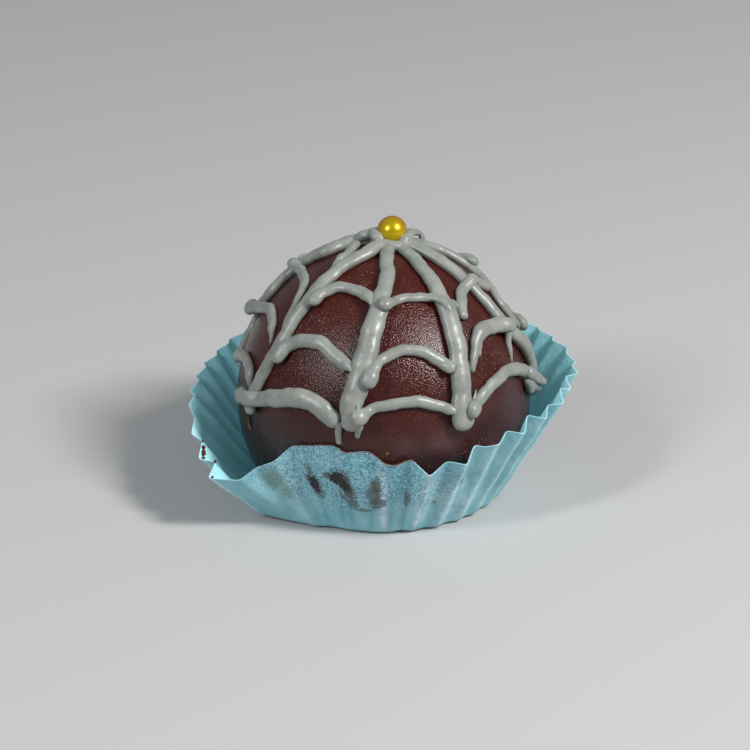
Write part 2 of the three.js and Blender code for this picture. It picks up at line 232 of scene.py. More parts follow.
class Sheet:
    """A node tree with short ways to add nodes and to join them."""

    def __init__(self, tree: bpy.types.NodeTree) -> None:
        """Keeps the tree that the nodes go into."""
        self.tree = tree

    def add(self, kind: str, values: dict[str, object] | None = None, **settings: object) -> bpy.types.Node:
        """Adds a node.

        Args:
            kind: The node's type.
            values: Constants for its input sockets, by name.
            **settings: The node's own properties.

        Returns:
            The node.
        """
        node = self.tree.nodes.new(kind)
        for key, value in settings.items():
            setattr(node, key, value)
        for key, value in (values or {}).items():
            node.inputs[key].default_value = value
        return node

    def join(self, source: bpy.types.NodeSocket, target: bpy.types.NodeSocket) -> None:
        """Joins an output to an input."""
        self.tree.links.new(source, target)

    def math(self, operation: str, first: object, second: object = 0.0) -> bpy.types.NodeSocket:
        """A Math node whose inputs are sockets or numbers.

        Args:
            operation: The node's operation.
            first: Its first input.
            second: Its second input.

        Returns:
            The output socket.
        """
        node = self.add("ShaderNodeMath", operation=operation)
        for socket, value in zip(node.inputs, (first, second)):
            if isinstance(value, bpy.types.NodeSocket):
                self.join(value, socket)
            else:
                socket.default_value = value
        return node.outputs[0]

    def times(self, first: object, second: object) -> bpy.types.NodeSocket:
        """The product of two sockets or numbers."""
        return self.math("MULTIPLY", first, second)

    def plus(self, first: object, second: object) -> bpy.types.NodeSocket:
        """The sum of two sockets or numbers."""
        return self.math("ADD", first, second)

    def ramp(self, value: bpy.types.NodeSocket, low: object, high: object) -> bpy.types.NodeSocket:
        """A value taken smoothly from 0 at low to 1 at high.

        Args:
            value: The value.
            low: A socket or a number.
            high: A socket or a number.

        Returns:
            The output socket.
        """
        node = self.add("ShaderNodeMapRange", interpolation_type="SMOOTHSTEP")
        self.join(value, node.inputs["Value"])
        for name, limit in (("From Min", low), ("From Max", high)):
            if isinstance(limit, bpy.types.NodeSocket):
                self.join(limit, node.inputs[name])
            else:
                node.inputs[name].default_value = limit
        return node.outputs["Result"]

    def blend(self, share: object, first: object, second: object) -> bpy.types.NodeSocket:
        """Two colours mixed by a share.

        Args:
            share: How much of the second colour, a socket or a number.
            first: The first colour, a socket or three numbers.
            second: The second colour, a socket or three numbers.

        Returns:
            The mixed colour's socket.
        """
        node = self.add("ShaderNodeMix", data_type="RGBA")
        sockets = (node.inputs[0], node.inputs[6], node.inputs[7])  # the share and the two colours
        for socket, value in zip(sockets, (share, first, second)):
            if isinstance(value, bpy.types.NodeSocket):
                self.join(value, socket)
            elif isinstance(value, tuple):
                socket.default_value = (*value, 1.0)
            else:
                socket.default_value = value
        return node.outputs[2]


class Effect(Enum):
    """The effects that several finishes share, each a node group."""

    MOTTLE = "mottle"
    SPECKS = "specks"
    OVAL = "oval"


class EffectLibrary:
    """Builds each shared effect once and places it in materials."""

    noise_roughness = 0.6
    speck_least = 0.3  # the smallest speck's radius, in stated radii; the greatest is 1 more
    speck_core = 0.5  # share of a speck's radius within which it is solid

    def __init__(self) -> None:
        """Builds every group."""
        self.groups = {
            Effect.MOTTLE: self._mottle(),
            Effect.SPECKS: self._specks(),
            Effect.OVAL: self._oval(),
        }

    @staticmethod
    def _start(effect: Effect, inputs: dict[str, float]) -> tuple[bpy.types.NodeTree, Sheet]:
        """An empty group with a vector input, some number inputs and one Mask output.

        Args:
            effect: The effect, which names the group.
            inputs: The number inputs and their default values.

        Returns:
            The group and a sheet over it.
        """
        group = bpy.data.node_groups.new(effect.value, "ShaderNodeTree")
        group.interface.new_socket("Vector", in_out="INPUT", socket_type="NodeSocketVector")
        for name, value in inputs.items():
            socket = group.interface.new_socket(name, in_out="INPUT", socket_type="NodeSocketFloat")
            socket.default_value = value
        group.interface.new_socket("Mask", in_out="OUTPUT", socket_type="NodeSocketFloat")
        return group, Sheet(group)

    def _mottle(self) -> bpy.types.NodeTree:
        """Cloudy patches: fractal noise of a given size, taken from 0 at Low to 1 at High.

        Returns:
            The group.
        """
        group, sheet = self._start(Effect.MOTTLE, {"Size": 1.0, "Detail": 2.0, "Low": 0.4, "High": 0.6})
        inlet, outlet = sheet.add("NodeGroupInput"), sheet.add("NodeGroupOutput")
        noise = sheet.add("ShaderNodeTexNoise", {"Roughness": self.noise_roughness})
        sheet.join(inlet.outputs["Vector"], noise.inputs["Vector"])
        sheet.join(sheet.math("DIVIDE", 1.0, inlet.outputs["Size"]), noise.inputs["Scale"])
        sheet.join(inlet.outputs["Detail"], noise.inputs["Detail"])
        spread = sheet.ramp(noise.outputs["Fac"], inlet.outputs["Low"], inlet.outputs["High"])
        sheet.join(spread, outlet.inputs["Mask"])
        return group

    def _specks(self) -> bpy.types.NodeTree:
        """Scattered dots: cells of a given size, each with a dot of its own random share of the radius.

        Returns:
            The group.
        """
        group, sheet = self._start(Effect.SPECKS, {"Spacing": 2.0, "Radius": 0.1, "Share": 0.5})
        inlet, outlet = sheet.add("NodeGroupInput"), sheet.add("NodeGroupOutput")
        cells = sheet.add("ShaderNodeTexVoronoi", {"Randomness": 1.0})
        sheet.join(inlet.outputs["Vector"], cells.inputs["Vector"])
        sheet.join(sheet.math("DIVIDE", 1.0, inlet.outputs["Spacing"]), cells.inputs["Scale"])
        tone = sheet.add("ShaderNodeSeparateColor")
        sheet.join(cells.outputs["Color"], tone.inputs["Color"])
        chosen = sheet.math("LESS_THAN", tone.outputs["Red"], inlet.outputs["Share"])
        random_share = sheet.plus(tone.outputs["Green"], self.speck_least)
        reach = sheet.times(inlet.outputs["Radius"], random_share)
        distance = sheet.times(cells.outputs["Distance"], inlet.outputs["Spacing"])
        outside = sheet.ramp(distance, sheet.times(reach, self.speck_core), reach)
        inside = sheet.math("SUBTRACT", 1.0, outside)
        sheet.join(sheet.times(inside, chosen), outlet.inputs["Mask"])
        return group

    def _oval(self) -> bpy.types.NodeTree:
        """One soft oval patch: 1 at its middle, falling evenly to 0 at its half sizes.

        Returns:
            The group.
        """
        group, sheet = self._start(Effect.OVAL, {})
        for name in ("Middle", "Half", "Turn"):
            group.interface.new_socket(name, in_out="INPUT", socket_type="NodeSocketVector")
        inlet, outlet = sheet.add("NodeGroupInput"), sheet.add("NodeGroupOutput")
        local = sheet.add("ShaderNodeMapping", vector_type="TEXTURE")
        targets = {"Vector": "Vector", "Middle": "Location", "Turn": "Rotation", "Half": "Scale"}
        for name, target in targets.items():
            sheet.join(inlet.outputs[name], local.inputs[target])
        ball = sheet.add("ShaderNodeTexGradient", gradient_type="SPHERICAL")
        sheet.join(local.outputs["Vector"], ball.inputs["Vector"])
        sheet.join(ball.outputs["Fac"], outlet.inputs["Mask"])
        return group

    def place(
        self, sheet: Sheet, effect: Effect, vector: bpy.types.NodeSocket, **values: object
    ) -> bpy.types.NodeSocket:
        """Places an effect in a material.

        Args:
            sheet: The material's sheet.
            effect: Which effect.
            vector: The coordinates in millimetres.
            **values: The group's other inputs, by their names in lower case.

        Returns:
            The Mask output.
        """
        node = sheet.add("ShaderNodeGroup", node_tree=self.groups[effect])
        sheet.join(vector, node.inputs["Vector"])
        for name, value in values.items():
            node.inputs[name.capitalize()].default_value = value
        return node.outputs["Mask"]


@dataclass(frozen=True)
class Ground:
    """A material under work, and what its patterns are made with."""

    effects: EffectLibrary
    material: bpy.types.Material
    sheet: Sheet
    shader: bpy.types.Node
    where: bpy.types.NodeSocket  # Object coordinates in millimetres

    def glow(self, weight: float, radii: tuple[float, float, float], depth: float) -> None:
        """Lets light soak into the surface.

        Args:
            weight: How much of the light does.
            radii: How far red, green and blue spread, as shares of the depth.
            depth: The depth in millimetres.
        """
        self.shader.inputs["Subsurface Weight"].default_value = weight
        self.shader.inputs["Subsurface Radius"].default_value = radii
        self.shader.inputs["Subsurface Scale"].default_value = depth * METRES

    def relief(self, height: bpy.types.NodeSocket, depth: float) -> None:
        """Turns a height into relief on the shader's normal.

        Args:
            height: The height, mostly from 0 to 1.
            depth: What 1 stands for, in millimetres.
        """
        bump = self.sheet.add("ShaderNodeBump", {"Strength": 1.0, "Distance": depth * METRES})
        self.sheet.join(height, bump.inputs["Height"])
        self.sheet.join(bump.outputs["Normal"], self.shader.inputs["Normal"])

    def coloured(self, colour: bpy.types.NodeSocket) -> bpy.types.Material:
        """Gives the shader its colour and hands over the material."""
        self.sheet.join(colour, self.shader.inputs["Base Color"])
        return self.material


@dataclass(frozen=True)
class Finish:
    """A surface finish: the constants of its shader, to which each kind adds its colours and relief."""

    name: str
    roughness: float
    specular: float
    coat: float = 0.0
    coat_roughness: float = 0.3

    def start(self, effects: EffectLibrary) -> Ground:
        """A material with its shader and its coordinates.

        Args:
            effects: The shared effects.

        Returns:
            The material, ready for its patterns.
        """
        material = bpy.data.materials.new(self.name)
        material.use_nodes = True
        material.node_tree.nodes.clear()
        sheet = Sheet(material.node_tree)
        shader = sheet.add(
            "ShaderNodeBsdfPrincipled",
            {
                "Roughness": self.roughness,
                "Specular IOR Level": self.specular,
                "Coat Weight": self.coat,
                "Coat Roughness": self.coat_roughness,
            },
        )
        out = sheet.add("ShaderNodeOutputMaterial")
        sheet.join(shader.outputs["BSDF"], out.inputs["Surface"])
        place = sheet.add("ShaderNodeTexCoord")
        scaled = sheet.add("ShaderNodeMapping", {"Scale": (1.0 / METRES,) * 3})
        sheet.join(place.outputs["Object"], scaled.inputs["Vector"])
        return Ground(effects, material, sheet, shader, scaled.outputs["Vector"])


@dataclass(frozen=True)
class Mottle:
    """Cloudy patches of a finish."""

    size: float
    detail: float
    low: float  # the noise at which a patch begins
    high: float  # the noise at which it is full

    def mask(self, ground: Ground, where: bpy.types.NodeSocket | None = None) -> bpy.types.NodeSocket:
        """The patches' mask in a material, at its own coordinates or at others."""
        return ground.effects.place(ground.sheet, Effect.MOTTLE, where or ground.where, **asdict(self))


@dataclass(frozen=True)
class Specks:
    """Scattered dots on a finish."""

    spacing: float
    radius: float
    share: float  # of the places that have a dot

    def mask(self, ground: Ground) -> bpy.types.NodeSocket:
        """The dots' mask in a material."""
        return ground.effects.place(ground.sheet, Effect.SPECKS, ground.where, **asdict(self))


@dataclass(frozen=True)
class Oval:
    """An oval patch of a finish."""

    middle: tuple[float, float, float]
    half: tuple[float, float, float]
    turn: float = 0.0  # about the front-to-back axis
    weight: float = 1.0

    def mask(self, ground: Ground) -> bpy.types.NodeSocket:
        """The patch's mask in a material.

        Args:
            ground: The material.

        Returns:
            A value from 0 outside the patch to its weight in the middle.
        """
        shape = {"middle": self.middle, "half": self.half, "turn": (0.0, np.radians(self.turn), 0.0)}
        mask = ground.effects.place(ground.sheet, Effect.OVAL, ground.where, **shape)
        return ground.sheet.times(mask, self.weight)


@dataclass(frozen=True)
class Patches:
    """Several ovals as one patch, which is taken smoothly from 0 where they reach low to 1 at high."""

    ovals: tuple[Oval, ...]
    low: float = 0.0
    high: float = 1.0

    def reach(self, ground: Ground) -> bpy.types.NodeSocket:
        """The greatest of the ovals' masks at each point.

        Args:
            ground: The material.

        Returns:
            The output socket.
        """
        most, *others = [oval.mask(ground) for oval in self.ovals]
        for other in others:
            most = ground.sheet.math("MAXIMUM", most, other)
        return most

    def mask(self, ground: Ground) -> bpy.types.NodeSocket:
        """The patch's mask in a material."""
        return ground.sheet.ramp(self.reach(ground), self.low, self.high)


@dataclass(frozen=True)
class Stain:
    """A stain of a finish, with a frayed edge."""

    patches: Patches
    colour: Colour
    share: float  # of its colour where it is full


# What has soaked into the paper below the ball: faint smears, brown marks in them, and chocolate at the core.
SMEARS = Stain(
    Patches(
        (
            Oval((-10.6, -20.0, 10.7), (0.85, 6.0, 2.0), -32.0, 0.8),
            Oval((-9.5, -20.0, 8.0), (1.4, 6.0, 3.2), -20.0, 1.0),
            Oval((-8.8, -20.0, 6.6), (0.75, 6.0, 1.5), -8.0, 0.9),
            Oval((-6.6, -20.0, 10.4), (2.1, 6.0, 2.0), 0.0, 0.8),
            Oval((-5.3, -20.0, 8.8), (1.5, 6.0, 3.2), -35.0, 0.9),
            Oval((-4.4, -20.0, 5.85), (1.05, 6.0, 1.5), -30.0, 1.15),
            Oval((-5.6, -20.0, 6.9), (0.6, 6.0, 1.9), -45.0, 0.75),
            Oval((-1.1, -20.0, 9.2), (1.1, 6.0, 2.5), 0.0, 0.95),
            Oval((-1.5, -20.0, 7.8), (1.55, 6.0, 1.6), 0.0, 1.0),
            Oval((-0.8, -20.0, 6.0), (1.7, 6.0, 1.05), -35.0, 1.15),
            Oval((-2.9, -20.0, 4.7), (2.2, 6.0, 0.62), 0.0, 0.72),
            Oval((3.15, -20.0, 7.0), (0.72, 6.0, 2.4), 0.0, 0.72),
            Oval((6.8, -19.0, 5.6), (0.72, 6.0, 0.72), 0.0, 0.62),
            Oval((10.6, -18.0, 8.7), (0.6, 6.0, 1.2), 0.0, 0.55),
        ),
        0.08,
        0.50,
    ),
    (0.090, 0.115, 0.110),
    0.74,
)
BROWNS = Stain(
    Patches(
        (
            Oval((-7.9, -20.0, 10.3), (1.1, 6.0, 0.75), 0.0, 0.9),
            Oval((-4.85, -20.0, 7.5), (0.8, 6.0, 1.9), -25.0, 0.95),
            Oval((-5.2, -20.0, 10.0), (0.75, 6.0, 2.3), -20.0, 0.8),
            Oval((-10.8, -20.0, 9.0), (0.6, 6.0, 1.4), -25.0, 0.8),
            Oval((-1.2, -20.0, 6.6), (1.3, 6.0, 0.8), -35.0, 0.9),
            Oval((-1.3, -20.0, 9.0), (1.0, 6.0, 2.0), -12.0, 0.85),
        ),
        0.08,
        0.50,
    ),
    (0.105, 0.085, 0.070),
    0.78,
)
CORES = Stain(
    Patches(
        (
            Oval((-9.75, -20.0, 8.3), (1.0, 6.0, 2.5), -22.0, 1.1),
            Oval((-6.6, -20.0, 10.05), (1.45, 6.0, 1.4), 0.0, 1.1),
            Oval((-5.6, -20.0, 9.1), (1.0, 6.0, 2.0), -42.0),
        ),
        0.08,
        0.50,
    ),
    (0.030, 0.030, 0.034),
    1.0,
)


@dataclass(frozen=True)
class ChocolateFinish(Finish):
    """Dark chocolate: satin, finely wrinkled, ruddy towards the top, with bloom, cocoa specks, a painted
    sheen and a slit darkened with painted shade.
    """

    name: str = "dark_chocolate"
    roughness: float = 0.22
    specular: float = 0.36
    dark: Colour = (0.026, 0.0115, 0.0098)
    ruddy: Colour = (0.054, 0.0066, 0.0046)
    ruddy_share: float = 0.8
    ruddy_start: float = 6.0  # height above which it turns ruddy
    ruddy_end: float = 30.0
    ruddy_clouds: Mottle = Mottle(6.0, 3.0, 0.35, 0.7)
    ruddy_clouds_share: float = 0.35
    # the colour of the bloom, and of the painted sheen and reflection below
    bloom: Colour = (0.085, 0.036, 0.040)
    bloomed: Mottle = Mottle(2.6, 5.0, 0.50, 0.72)
    bloomed_share: float = 0.18
    # painted sheen and reflection: ovals of the bloom colour low at the front and along the right edge, where
    # the ball reflects its surroundings
    clouds: Patches = Patches(
        (
            Oval((8.3, -19.0, 15.2), (3.4, 6.0, 2.6), 25.0, 0.9),
            Oval((3.0, -20.0, 15.5), (2.4, 6.0, 2.2), 0.0, 0.6),
            Oval((15.5, -13.0, 12.5), (4.0, 8.0, 4.0), 0.0, 0.75),
            Oval((18.5, -8.5, 15.0), (4.5, 8.0, 6.0), 0.0, 1.2),
        )
    )
    clouds_share: float = 0.9
    speck: Colour = (0.42, 0.19, 0.055)
    fine_specks: Specks = Specks(0.30, 0.085, 0.5)
    sprinkled: Patches = Patches(  # where the fine specks lie thickest
        (
            Oval((-13.8, -12.0, 23.3), (5.5, 9.0, 4.6), 0.0, 1.3),
            Oval((-10.3, -9.6, 29.2), (4.6, 9.0, 4.0), 0.0, 1.2),
            Oval((14.3, -10.0, 25.0), (5.0, 9.0, 5.0), 0.0, 1.3),
            Oval((-1.5, -7.0, 33.0), (6.0, 7.0, 4.0), 0.0, 0.8),
            Oval((13.0, -16.0, 12.0), (6.5, 8.0, 5.0), 0.0, 0.7),
            Oval((-15.0, -13.0, 11.0), (5.0, 8.0, 4.0), 0.0, 0.7),
        ),
        0.0,
        0.6,
    )
    sprinkled_least: float = 0.22  # how thick they lie elsewhere
    sprinkled_clouds: Mottle = Mottle(1.8, 2.0, 0.35, 0.6)
    sprinkled_clouds_least: float = 0.35
    crumb: Colour = (0.30, 0.085, 0.018)
    coarse_specks: Specks = Specks(2.6, 0.24, 0.4)
    coarse_share: float = 0.8
    slit: Patches = Patches((Oval((-18.75, -9.3, 13.7), (0.62, 1.15, 1.45), -8.0),), 0.1, 0.35)
    slit_edge: Patches = Patches((Oval((-19.0, -8.9, 13.1), (0.50, 0.9, 1.35), -12.0),), 0.15, 0.4)
    slit_edge_share: float = 0.6
    # painted shade: the slit's colour, near black, for the shade inside it
    slit_dark: Colour = (0.003, 0.002, 0.002)
    slit_depth: float = 6.0  # in depths of the wrinkles
    sheen: Mottle = Mottle(4.5, 2.0, 0.3, 0.7)
    sheen_spread: float = 0.1  # of the roughness
    wrinkle: float = 0.048  # depth of the fine wrinkles
    grain: Mottle = Mottle(0.20, 1.5, 0.3, 0.7)
    grain_scale: tuple[float, float, float] = (1.0, 1.0, 0.6)  # draws the grain out upwards
    grain_share: float = 0.6
    drops: Specks = Specks(0.8, 0.26, 0.45)
    drops_share: float = 0.5

    def build(self, effects: EffectLibrary) -> bpy.types.Material:
        """The material.

        Args:
            effects: The shared effects.

        Returns:
            The material.
        """
        ground = self.start(effects)
        sheet = ground.sheet
        colour = self._speckled(ground, self._bloomed(ground))
        edge = sheet.times(self.slit_edge.mask(ground), self.slit_edge_share)
        colour = sheet.blend(edge, colour, self.crumb)
        slit = self.slit.mask(ground)
        # the slit darkened with painted shade
        colour = sheet.blend(slit, colour, self.slit_dark)
        sheen = sheet.times(self.sheen.mask(ground), self.sheen_spread)
        rough = sheet.plus(sheen, self.roughness - 0.5 * self.sheen_spread)
        sheet.join(sheet.math("MAXIMUM", rough, slit), ground.shader.inputs["Roughness"])
        height = sheet.math("SUBTRACT", self._wrinkles(ground), sheet.times(slit, self.slit_depth))
        ground.relief(height, self.wrinkle)
        return ground.coloured(colour)

    def _bloomed(self, ground: Ground) -> bpy.types.NodeSocket:
        """The chocolate's colour, ruddier towards the top, with its bloom and a painted sheen in the bloom
        colour.

        Args:
            ground: The material.

        Returns:
            The colour's socket.
        """
        sheet = ground.sheet
        split = sheet.add("ShaderNodeSeparateXYZ")
        sheet.join(ground.where, split.inputs["Vector"])
        upper = sheet.ramp(split.outputs["Z"], self.ruddy_start, self.ruddy_end)
        cloudy = sheet.times(self.ruddy_clouds.mask(ground), self.ruddy_clouds_share)
        warm = sheet.times(sheet.plus(upper, cloudy), self.ruddy_share)
        colour = sheet.blend(warm, self.dark, self.ruddy)
        patchy = sheet.times(self.bloomed.mask(ground), self.bloomed_share)
        # the painted sheen and reflection of the ovals
        painted_sheen = sheet.times(self.clouds.reach(ground), self.clouds_share)
        return sheet.blend(sheet.math("MAXIMUM", patchy, painted_sheen), colour, self.bloom)

    def _speckled(self, ground: Ground, colour: bpy.types.NodeSocket) -> bpy.types.NodeSocket:
        """A colour with fine specks of cocoa, thickest in some places, and coarse crumbs all over.

        Args:
            ground: The material.
            colour: The colour so far.

        Returns:
            The colour's socket.
        """
        sheet = ground.sheet
        thick = sheet.plus(self.sprinkled.mask(ground), self.sprinkled_least)
        patchy = sheet.plus(self.sprinkled_clouds.mask(ground), self.sprinkled_clouds_least)
        fine = sheet.times(self.fine_specks.mask(ground), sheet.times(thick, patchy))
        colour = sheet.blend(fine, colour, self.speck)
        coarse = sheet.times(self.coarse_specks.mask(ground), self.coarse_share)
        return sheet.blend(coarse, colour, self.crumb)

    def _wrinkles(self, ground: Ground) -> bpy.types.NodeSocket:
        """The height of the fine grain and of the small drops on it.

        Args:
            ground: The material.

        Returns:
            The height's socket.
        """
        sheet = ground.sheet
        tall = sheet.add("ShaderNodeMapping", {"Scale": self.grain_scale})
        sheet.join(ground.where, tall.inputs["Vector"])
        grain = sheet.times(self.grain.mask(ground, tall.outputs["Vector"]), self.grain_share)
        return sheet.plus(grain, sheet.times(self.drops.mask(ground), self.drops_share))


@dataclass(frozen=True)
class IcingFinish(Finish):
    """Set piped icing: pale grey-green, softly glossy, with a slight unevenness of tone."""

    name: str = "piped_icing"
    roughness: float = 0.36
    specular: float = 0.5
    light: Colour = (0.278, 0.292, 0.266)
    grey: Colour = (0.205, 0.222, 0.208)
    clouds: Mottle = Mottle(3.0, 3.0, 0.3, 0.7)
    pit: Colour = (0.10, 0.07, 0.05)
    pits: Specks = Specks(2.1, 0.08, 0.14)
    pit_share: float = 0.5
    glow: float = 0.12  # how much of the light soaks in
    glow_radii: tuple[float, float, float] = (1.0, 0.9, 0.7)
    glow_depth: float = 0.5
    grain: Mottle = Mottle(1.1, 2.0, 0.2, 0.8)
    grain_depth: float = 0.035

    def build(self, effects: EffectLibrary) -> bpy.types.Material:
        """The material.

        Args:
            effects: The shared effects.

        Returns:
            The material.
        """
        ground = self.start(effects)
        colour = ground.sheet.blend(self.clouds.mask(ground), self.light, self.grey)
        pitted = ground.sheet.times(self.pits.mask(ground), self.pit_share)
        ground.glow(self.glow, self.glow_radii, self.glow_depth)
        ground.relief(self.grain.mask(ground), self.grain_depth)
        return ground.coloured(ground.sheet.blend(pitted, colour, self.pit))


@dataclass(frozen=True)
class PaperFinish(Finish):
    """Thin blue baking paper: matt and fibrous, soaked with fat where it touches the chocolate, with painted
    light on its inner face and low at the right front, worn lines with a painted highlight along the outer
    folds and painted shade along the inner ones.
    """

    name: str = "case_paper"
    roughness: float = 0.8
    specular: float = 0.25
    blue: Colour = (0.172, 0.412, 0.475)
    pale: Colour = (0.30, 0.545, 0.605)
    clouds: Mottle = Mottle(5.0, 4.0, 0.3, 0.7)
    # painted light: the inner face is a brighter blue, for the light that comes through the paper
    inside: Colour = (0.40, 0.80, 0.94)
    # worn and painted highlight: a paler line along each outer fold, partly wear of the crease and partly
    # painted light on the ridge
    worn_and_lit: Colour = (0.56, 0.72, 0.76)  # along the outer folds
    worn_clouds: Mottle = Mottle(1.6, 3.0, 0.25, 0.6)
    # painted shade: a darker blue along each inner fold, where shade falls in the crease
    crease_shade: Colour = (0.095, 0.31, 0.385)  # along the inner folds
    deep_share: float = 0.5
    rim_grease: Colour = (0.15, 0.06, 0.022)
    # painted light: paler, mottled patches low at the right front, for the light from the table that comes
    # through the paper
    dry: Colour = (0.38, 0.595, 0.64)
    dried: Patches = Patches(
        (
            Oval((9.5, -17.0, 5.5), (7.5, 9.0, 6.5), 0.0, 1.5),
            Oval((14.0, -15.0, 12.0), (6.0, 9.0, 5.0), 0.0, 0.9),
        ),
        0.0,
        0.9,
    )
    dried_clouds: Mottle = Mottle(1.3, 4.0, 0.3, 0.65)
    fibre_light: Colour = (0.44, 0.61, 0.65)
    fibre_dark: Colour = (0.050, 0.215, 0.335)
    light_fibres: Mottle = Mottle(0.40, 4.0, 0.46, 0.60)
    dark_fibres: Mottle = Mottle(0.31, 4.0, 0.46, 0.60)
    soaked: Patches = Patches(  # where the fibres show
        (
            Oval((-7.0, -19.0, 11.0), (14.0, 9.0, 8.3), 0.0, 1.9),
            Oval((4.0, -20.0, 10.0), (10.0, 8.0, 7.0), 0.0, 0.9),
        ),
        0.0,
        0.6,
    )
    fibre_share: float = 0.72
    fibre_least: float = 0.03  # how much of them shows elsewhere
    fat: Colour = (0.165, 0.285, 0.24)
    fat_marks: Patches = Patches(
        (
            Oval((-15.4, -17.5, 8.6), (2.2, 7.0, 3.2), -25.0, 1.0),
            Oval((-13.6, -18.0, 6.4), (1.6, 7.0, 2.6), -40.0, 0.8),
        ),
        0.0,
        0.8,
    )
    fat_share: float = 0.8
    frayed: Mottle = Mottle(0.38, 5.0, 0.2, 0.8)
    fray: float = 0.6  # how strongly the stains' edges are frayed
    fray_start: float = 0.25  # how far in from a stain's outermost edge it is full
    stains: tuple[Stain, ...] = (SMEARS, BROWNS, CORES)
    glow: float = 0.85  # how much of the light soaks into the sheet and through it
    glow_radii: tuple[float, float, float] = (1.0, 1.0, 1.0)
    glow_depth: float = 0.32
    crinkles: Mottle = Mottle(1.2, 5.0, 0.2, 0.8)
    crinkle_depth: float = 0.07

    def build(self, effects: EffectLibrary) -> bpy.types.Material:
        """The material.

        Args:
            effects: The shared effects.

        Returns:
            The material.
        """
        ground = self.start(effects)
        sheet = ground.sheet
        marks = {}
        for name in ("worn_and_lit", "crease_shade", "greased", "inside"):
            marks[name] = sheet.add("ShaderNodeAttribute", attribute_name=name).outputs["Fac"]
        patchy = self.worn_clouds.mask(ground)
        colour = sheet.blend(self.clouds.mask(ground), self.blue, self.pale)
        # painted light low at the right front, broken up by mottling
        dried = sheet.times(self.dried.mask(ground), self.dried_clouds.mask(ground))
        colour = sheet.blend(dried, colour, self.dry)
        # painted light on the inner face
        colour = sheet.blend(marks["inside"], colour, self.inside)
        # painted shade along the inner folds
        colour = sheet.blend(sheet.times(marks["crease_shade"], self.deep_share), colour, self.crease_shade)
        # worn lines with a painted highlight along the outer folds
        colour = sheet.blend(sheet.times(marks["worn_and_lit"], patchy), colour, self.worn_and_lit)
        colour = self._stained(ground, self._fibrous(ground, colour))
        colour = sheet.blend(sheet.times(marks["greased"], patchy), colour, self.rim_grease)
        ground.glow(self.glow, self.glow_radii, self.glow_depth)
        ground.relief(self.crinkles.mask(ground), self.crinkle_depth)
        return ground.coloured(colour)

    def _fibrous(self, ground: Ground, colour: bpy.types.NodeSocket) -> bpy.types.NodeSocket:
        """A colour with light and dark fibres, which show where the paper is soaked.

        Args:
            ground: The material.
            colour: The colour so far.

        Returns:
            The colour's socket.
        """
        sheet = ground.sheet
        share = sheet.plus(sheet.times(self.soaked.mask(ground), self.fibre_share), self.fibre_least)
        fibres = ((self.light_fibres, self.fibre_light), (self.dark_fibres, self.fibre_dark))
        for pattern, tint in fibres:
            colour = sheet.blend(sheet.times(pattern.mask(ground), share), colour, tint)
        return colour

    def _stained(self, ground: Ground, colour: bpy.types.NodeSocket) -> bpy.types.NodeSocket:
        """A colour with the marks of fat and, over them, the stains.

        Args:
            ground: The material.
            colour: The colour so far.

        Returns:
            The colour's socket.
        """
        sheet = ground.sheet
        colour = sheet.blend(sheet.times(self.fat_marks.mask(ground), self.fat_share), colour, self.fat)
        uneven = sheet.times(sheet.math("SUBTRACT", self.frayed.mask(ground), 0.5), self.fray)
        for stain in self.stains:
            reach = stain.patches.reach(ground)
            frayed = sheet.plus(reach, sheet.times(uneven, sheet.ramp(reach, 0.0, self.fray_start)))
            mask = sheet.ramp(frayed, stain.patches.low, stain.patches.high)
            colour = sheet.blend(sheet.times(mask, stain.share), colour, stain.colour)
        return colour


@dataclass(frozen=True)
class PearlFinish(Finish):
    """A sugar pearl's gold lustre: glossy, with an orange rim and a yellow middle."""

    name: str = "pearl_lustre"
    roughness: float = 0.28
    specular: float = 0.4
    coat: float = 0.25
    coat_roughness: float = 0.15
    metallic: float = 0.65
    yellow: Colour = (0.62, 0.44, 0.004)
    orange: Colour = (0.54, 0.19, 0.001)
    facing_blend: float = 0.35
    orange_start: float = 0.15  # how far the surface has turned away where the orange begins
    orange_full: float = 0.8
    swirl: Mottle = Mottle(1.1, 2.0, 0.3, 0.7)
    swirl_share: float = 0.15

    def build(self, effects: EffectLibrary) -> bpy.types.Material:
        """The material.

        Args:
            effects: The shared effects.

        Returns:
            The material.
        """
        ground = self.start(effects)
        sheet = ground.sheet
        ground.shader.inputs["Metallic"].default_value = self.metallic
        facing = sheet.add("ShaderNodeLayerWeight", {"Blend": self.facing_blend}).outputs["Facing"]
        edge = sheet.ramp(facing, self.orange_start, self.orange_full)
        share = sheet.plus(edge, sheet.times(self.swirl.mask(ground), self.swirl_share))
        return ground.coloured(sheet.blend(share, self.yellow, self.orange))


@dataclass(frozen=True)
class CrumbFinish(Finish):
    """Dry red-brown cake crumb."""

    name: str = "cake_crumb"
    roughness: float = 0.9
    specular: float = 0.2
    dark: Colour = (0.055, 0.012, 0.008)
    light: Colour = (0.16, 0.045, 0.022)
    grain: Mottle = Mottle(0.25, 3.0, 0.35, 0.65)
    grain_depth: float = 0.05

    def build(self, effects: EffectLibrary) -> bpy.types.Material:
        """The material.

        Args:
            effects: The shared effects.

        Returns:
            The material.
        """
        ground = self.start(effects)
        grain = self.grain.mask(ground)
        ground.relief(grain, self.grain_depth)
        return ground.coloured(ground.sheet.blend(grain, self.dark, self.light))


@dataclass(frozen=True)
class TableFinish(Finish):
    """A plain pale matt table."""

    name: str = "pale_table"
    roughness: float = 0.6
    specular: float = 0.3
    colour: Colour = (0.47, 0.47, 0.47)

    def build(self, effects: EffectLibrary) -> bpy.types.Material:
        """The material.

        Args:
            effects: The shared effects.

        Returns:
            The material.
        """
        ground = self.start(effects)
        ground.shader.inputs["Base Color"].default_value = (*self.colour, 1.0)
        return ground.material


# ------------------------------------------------------------------------------------- the truffle's form


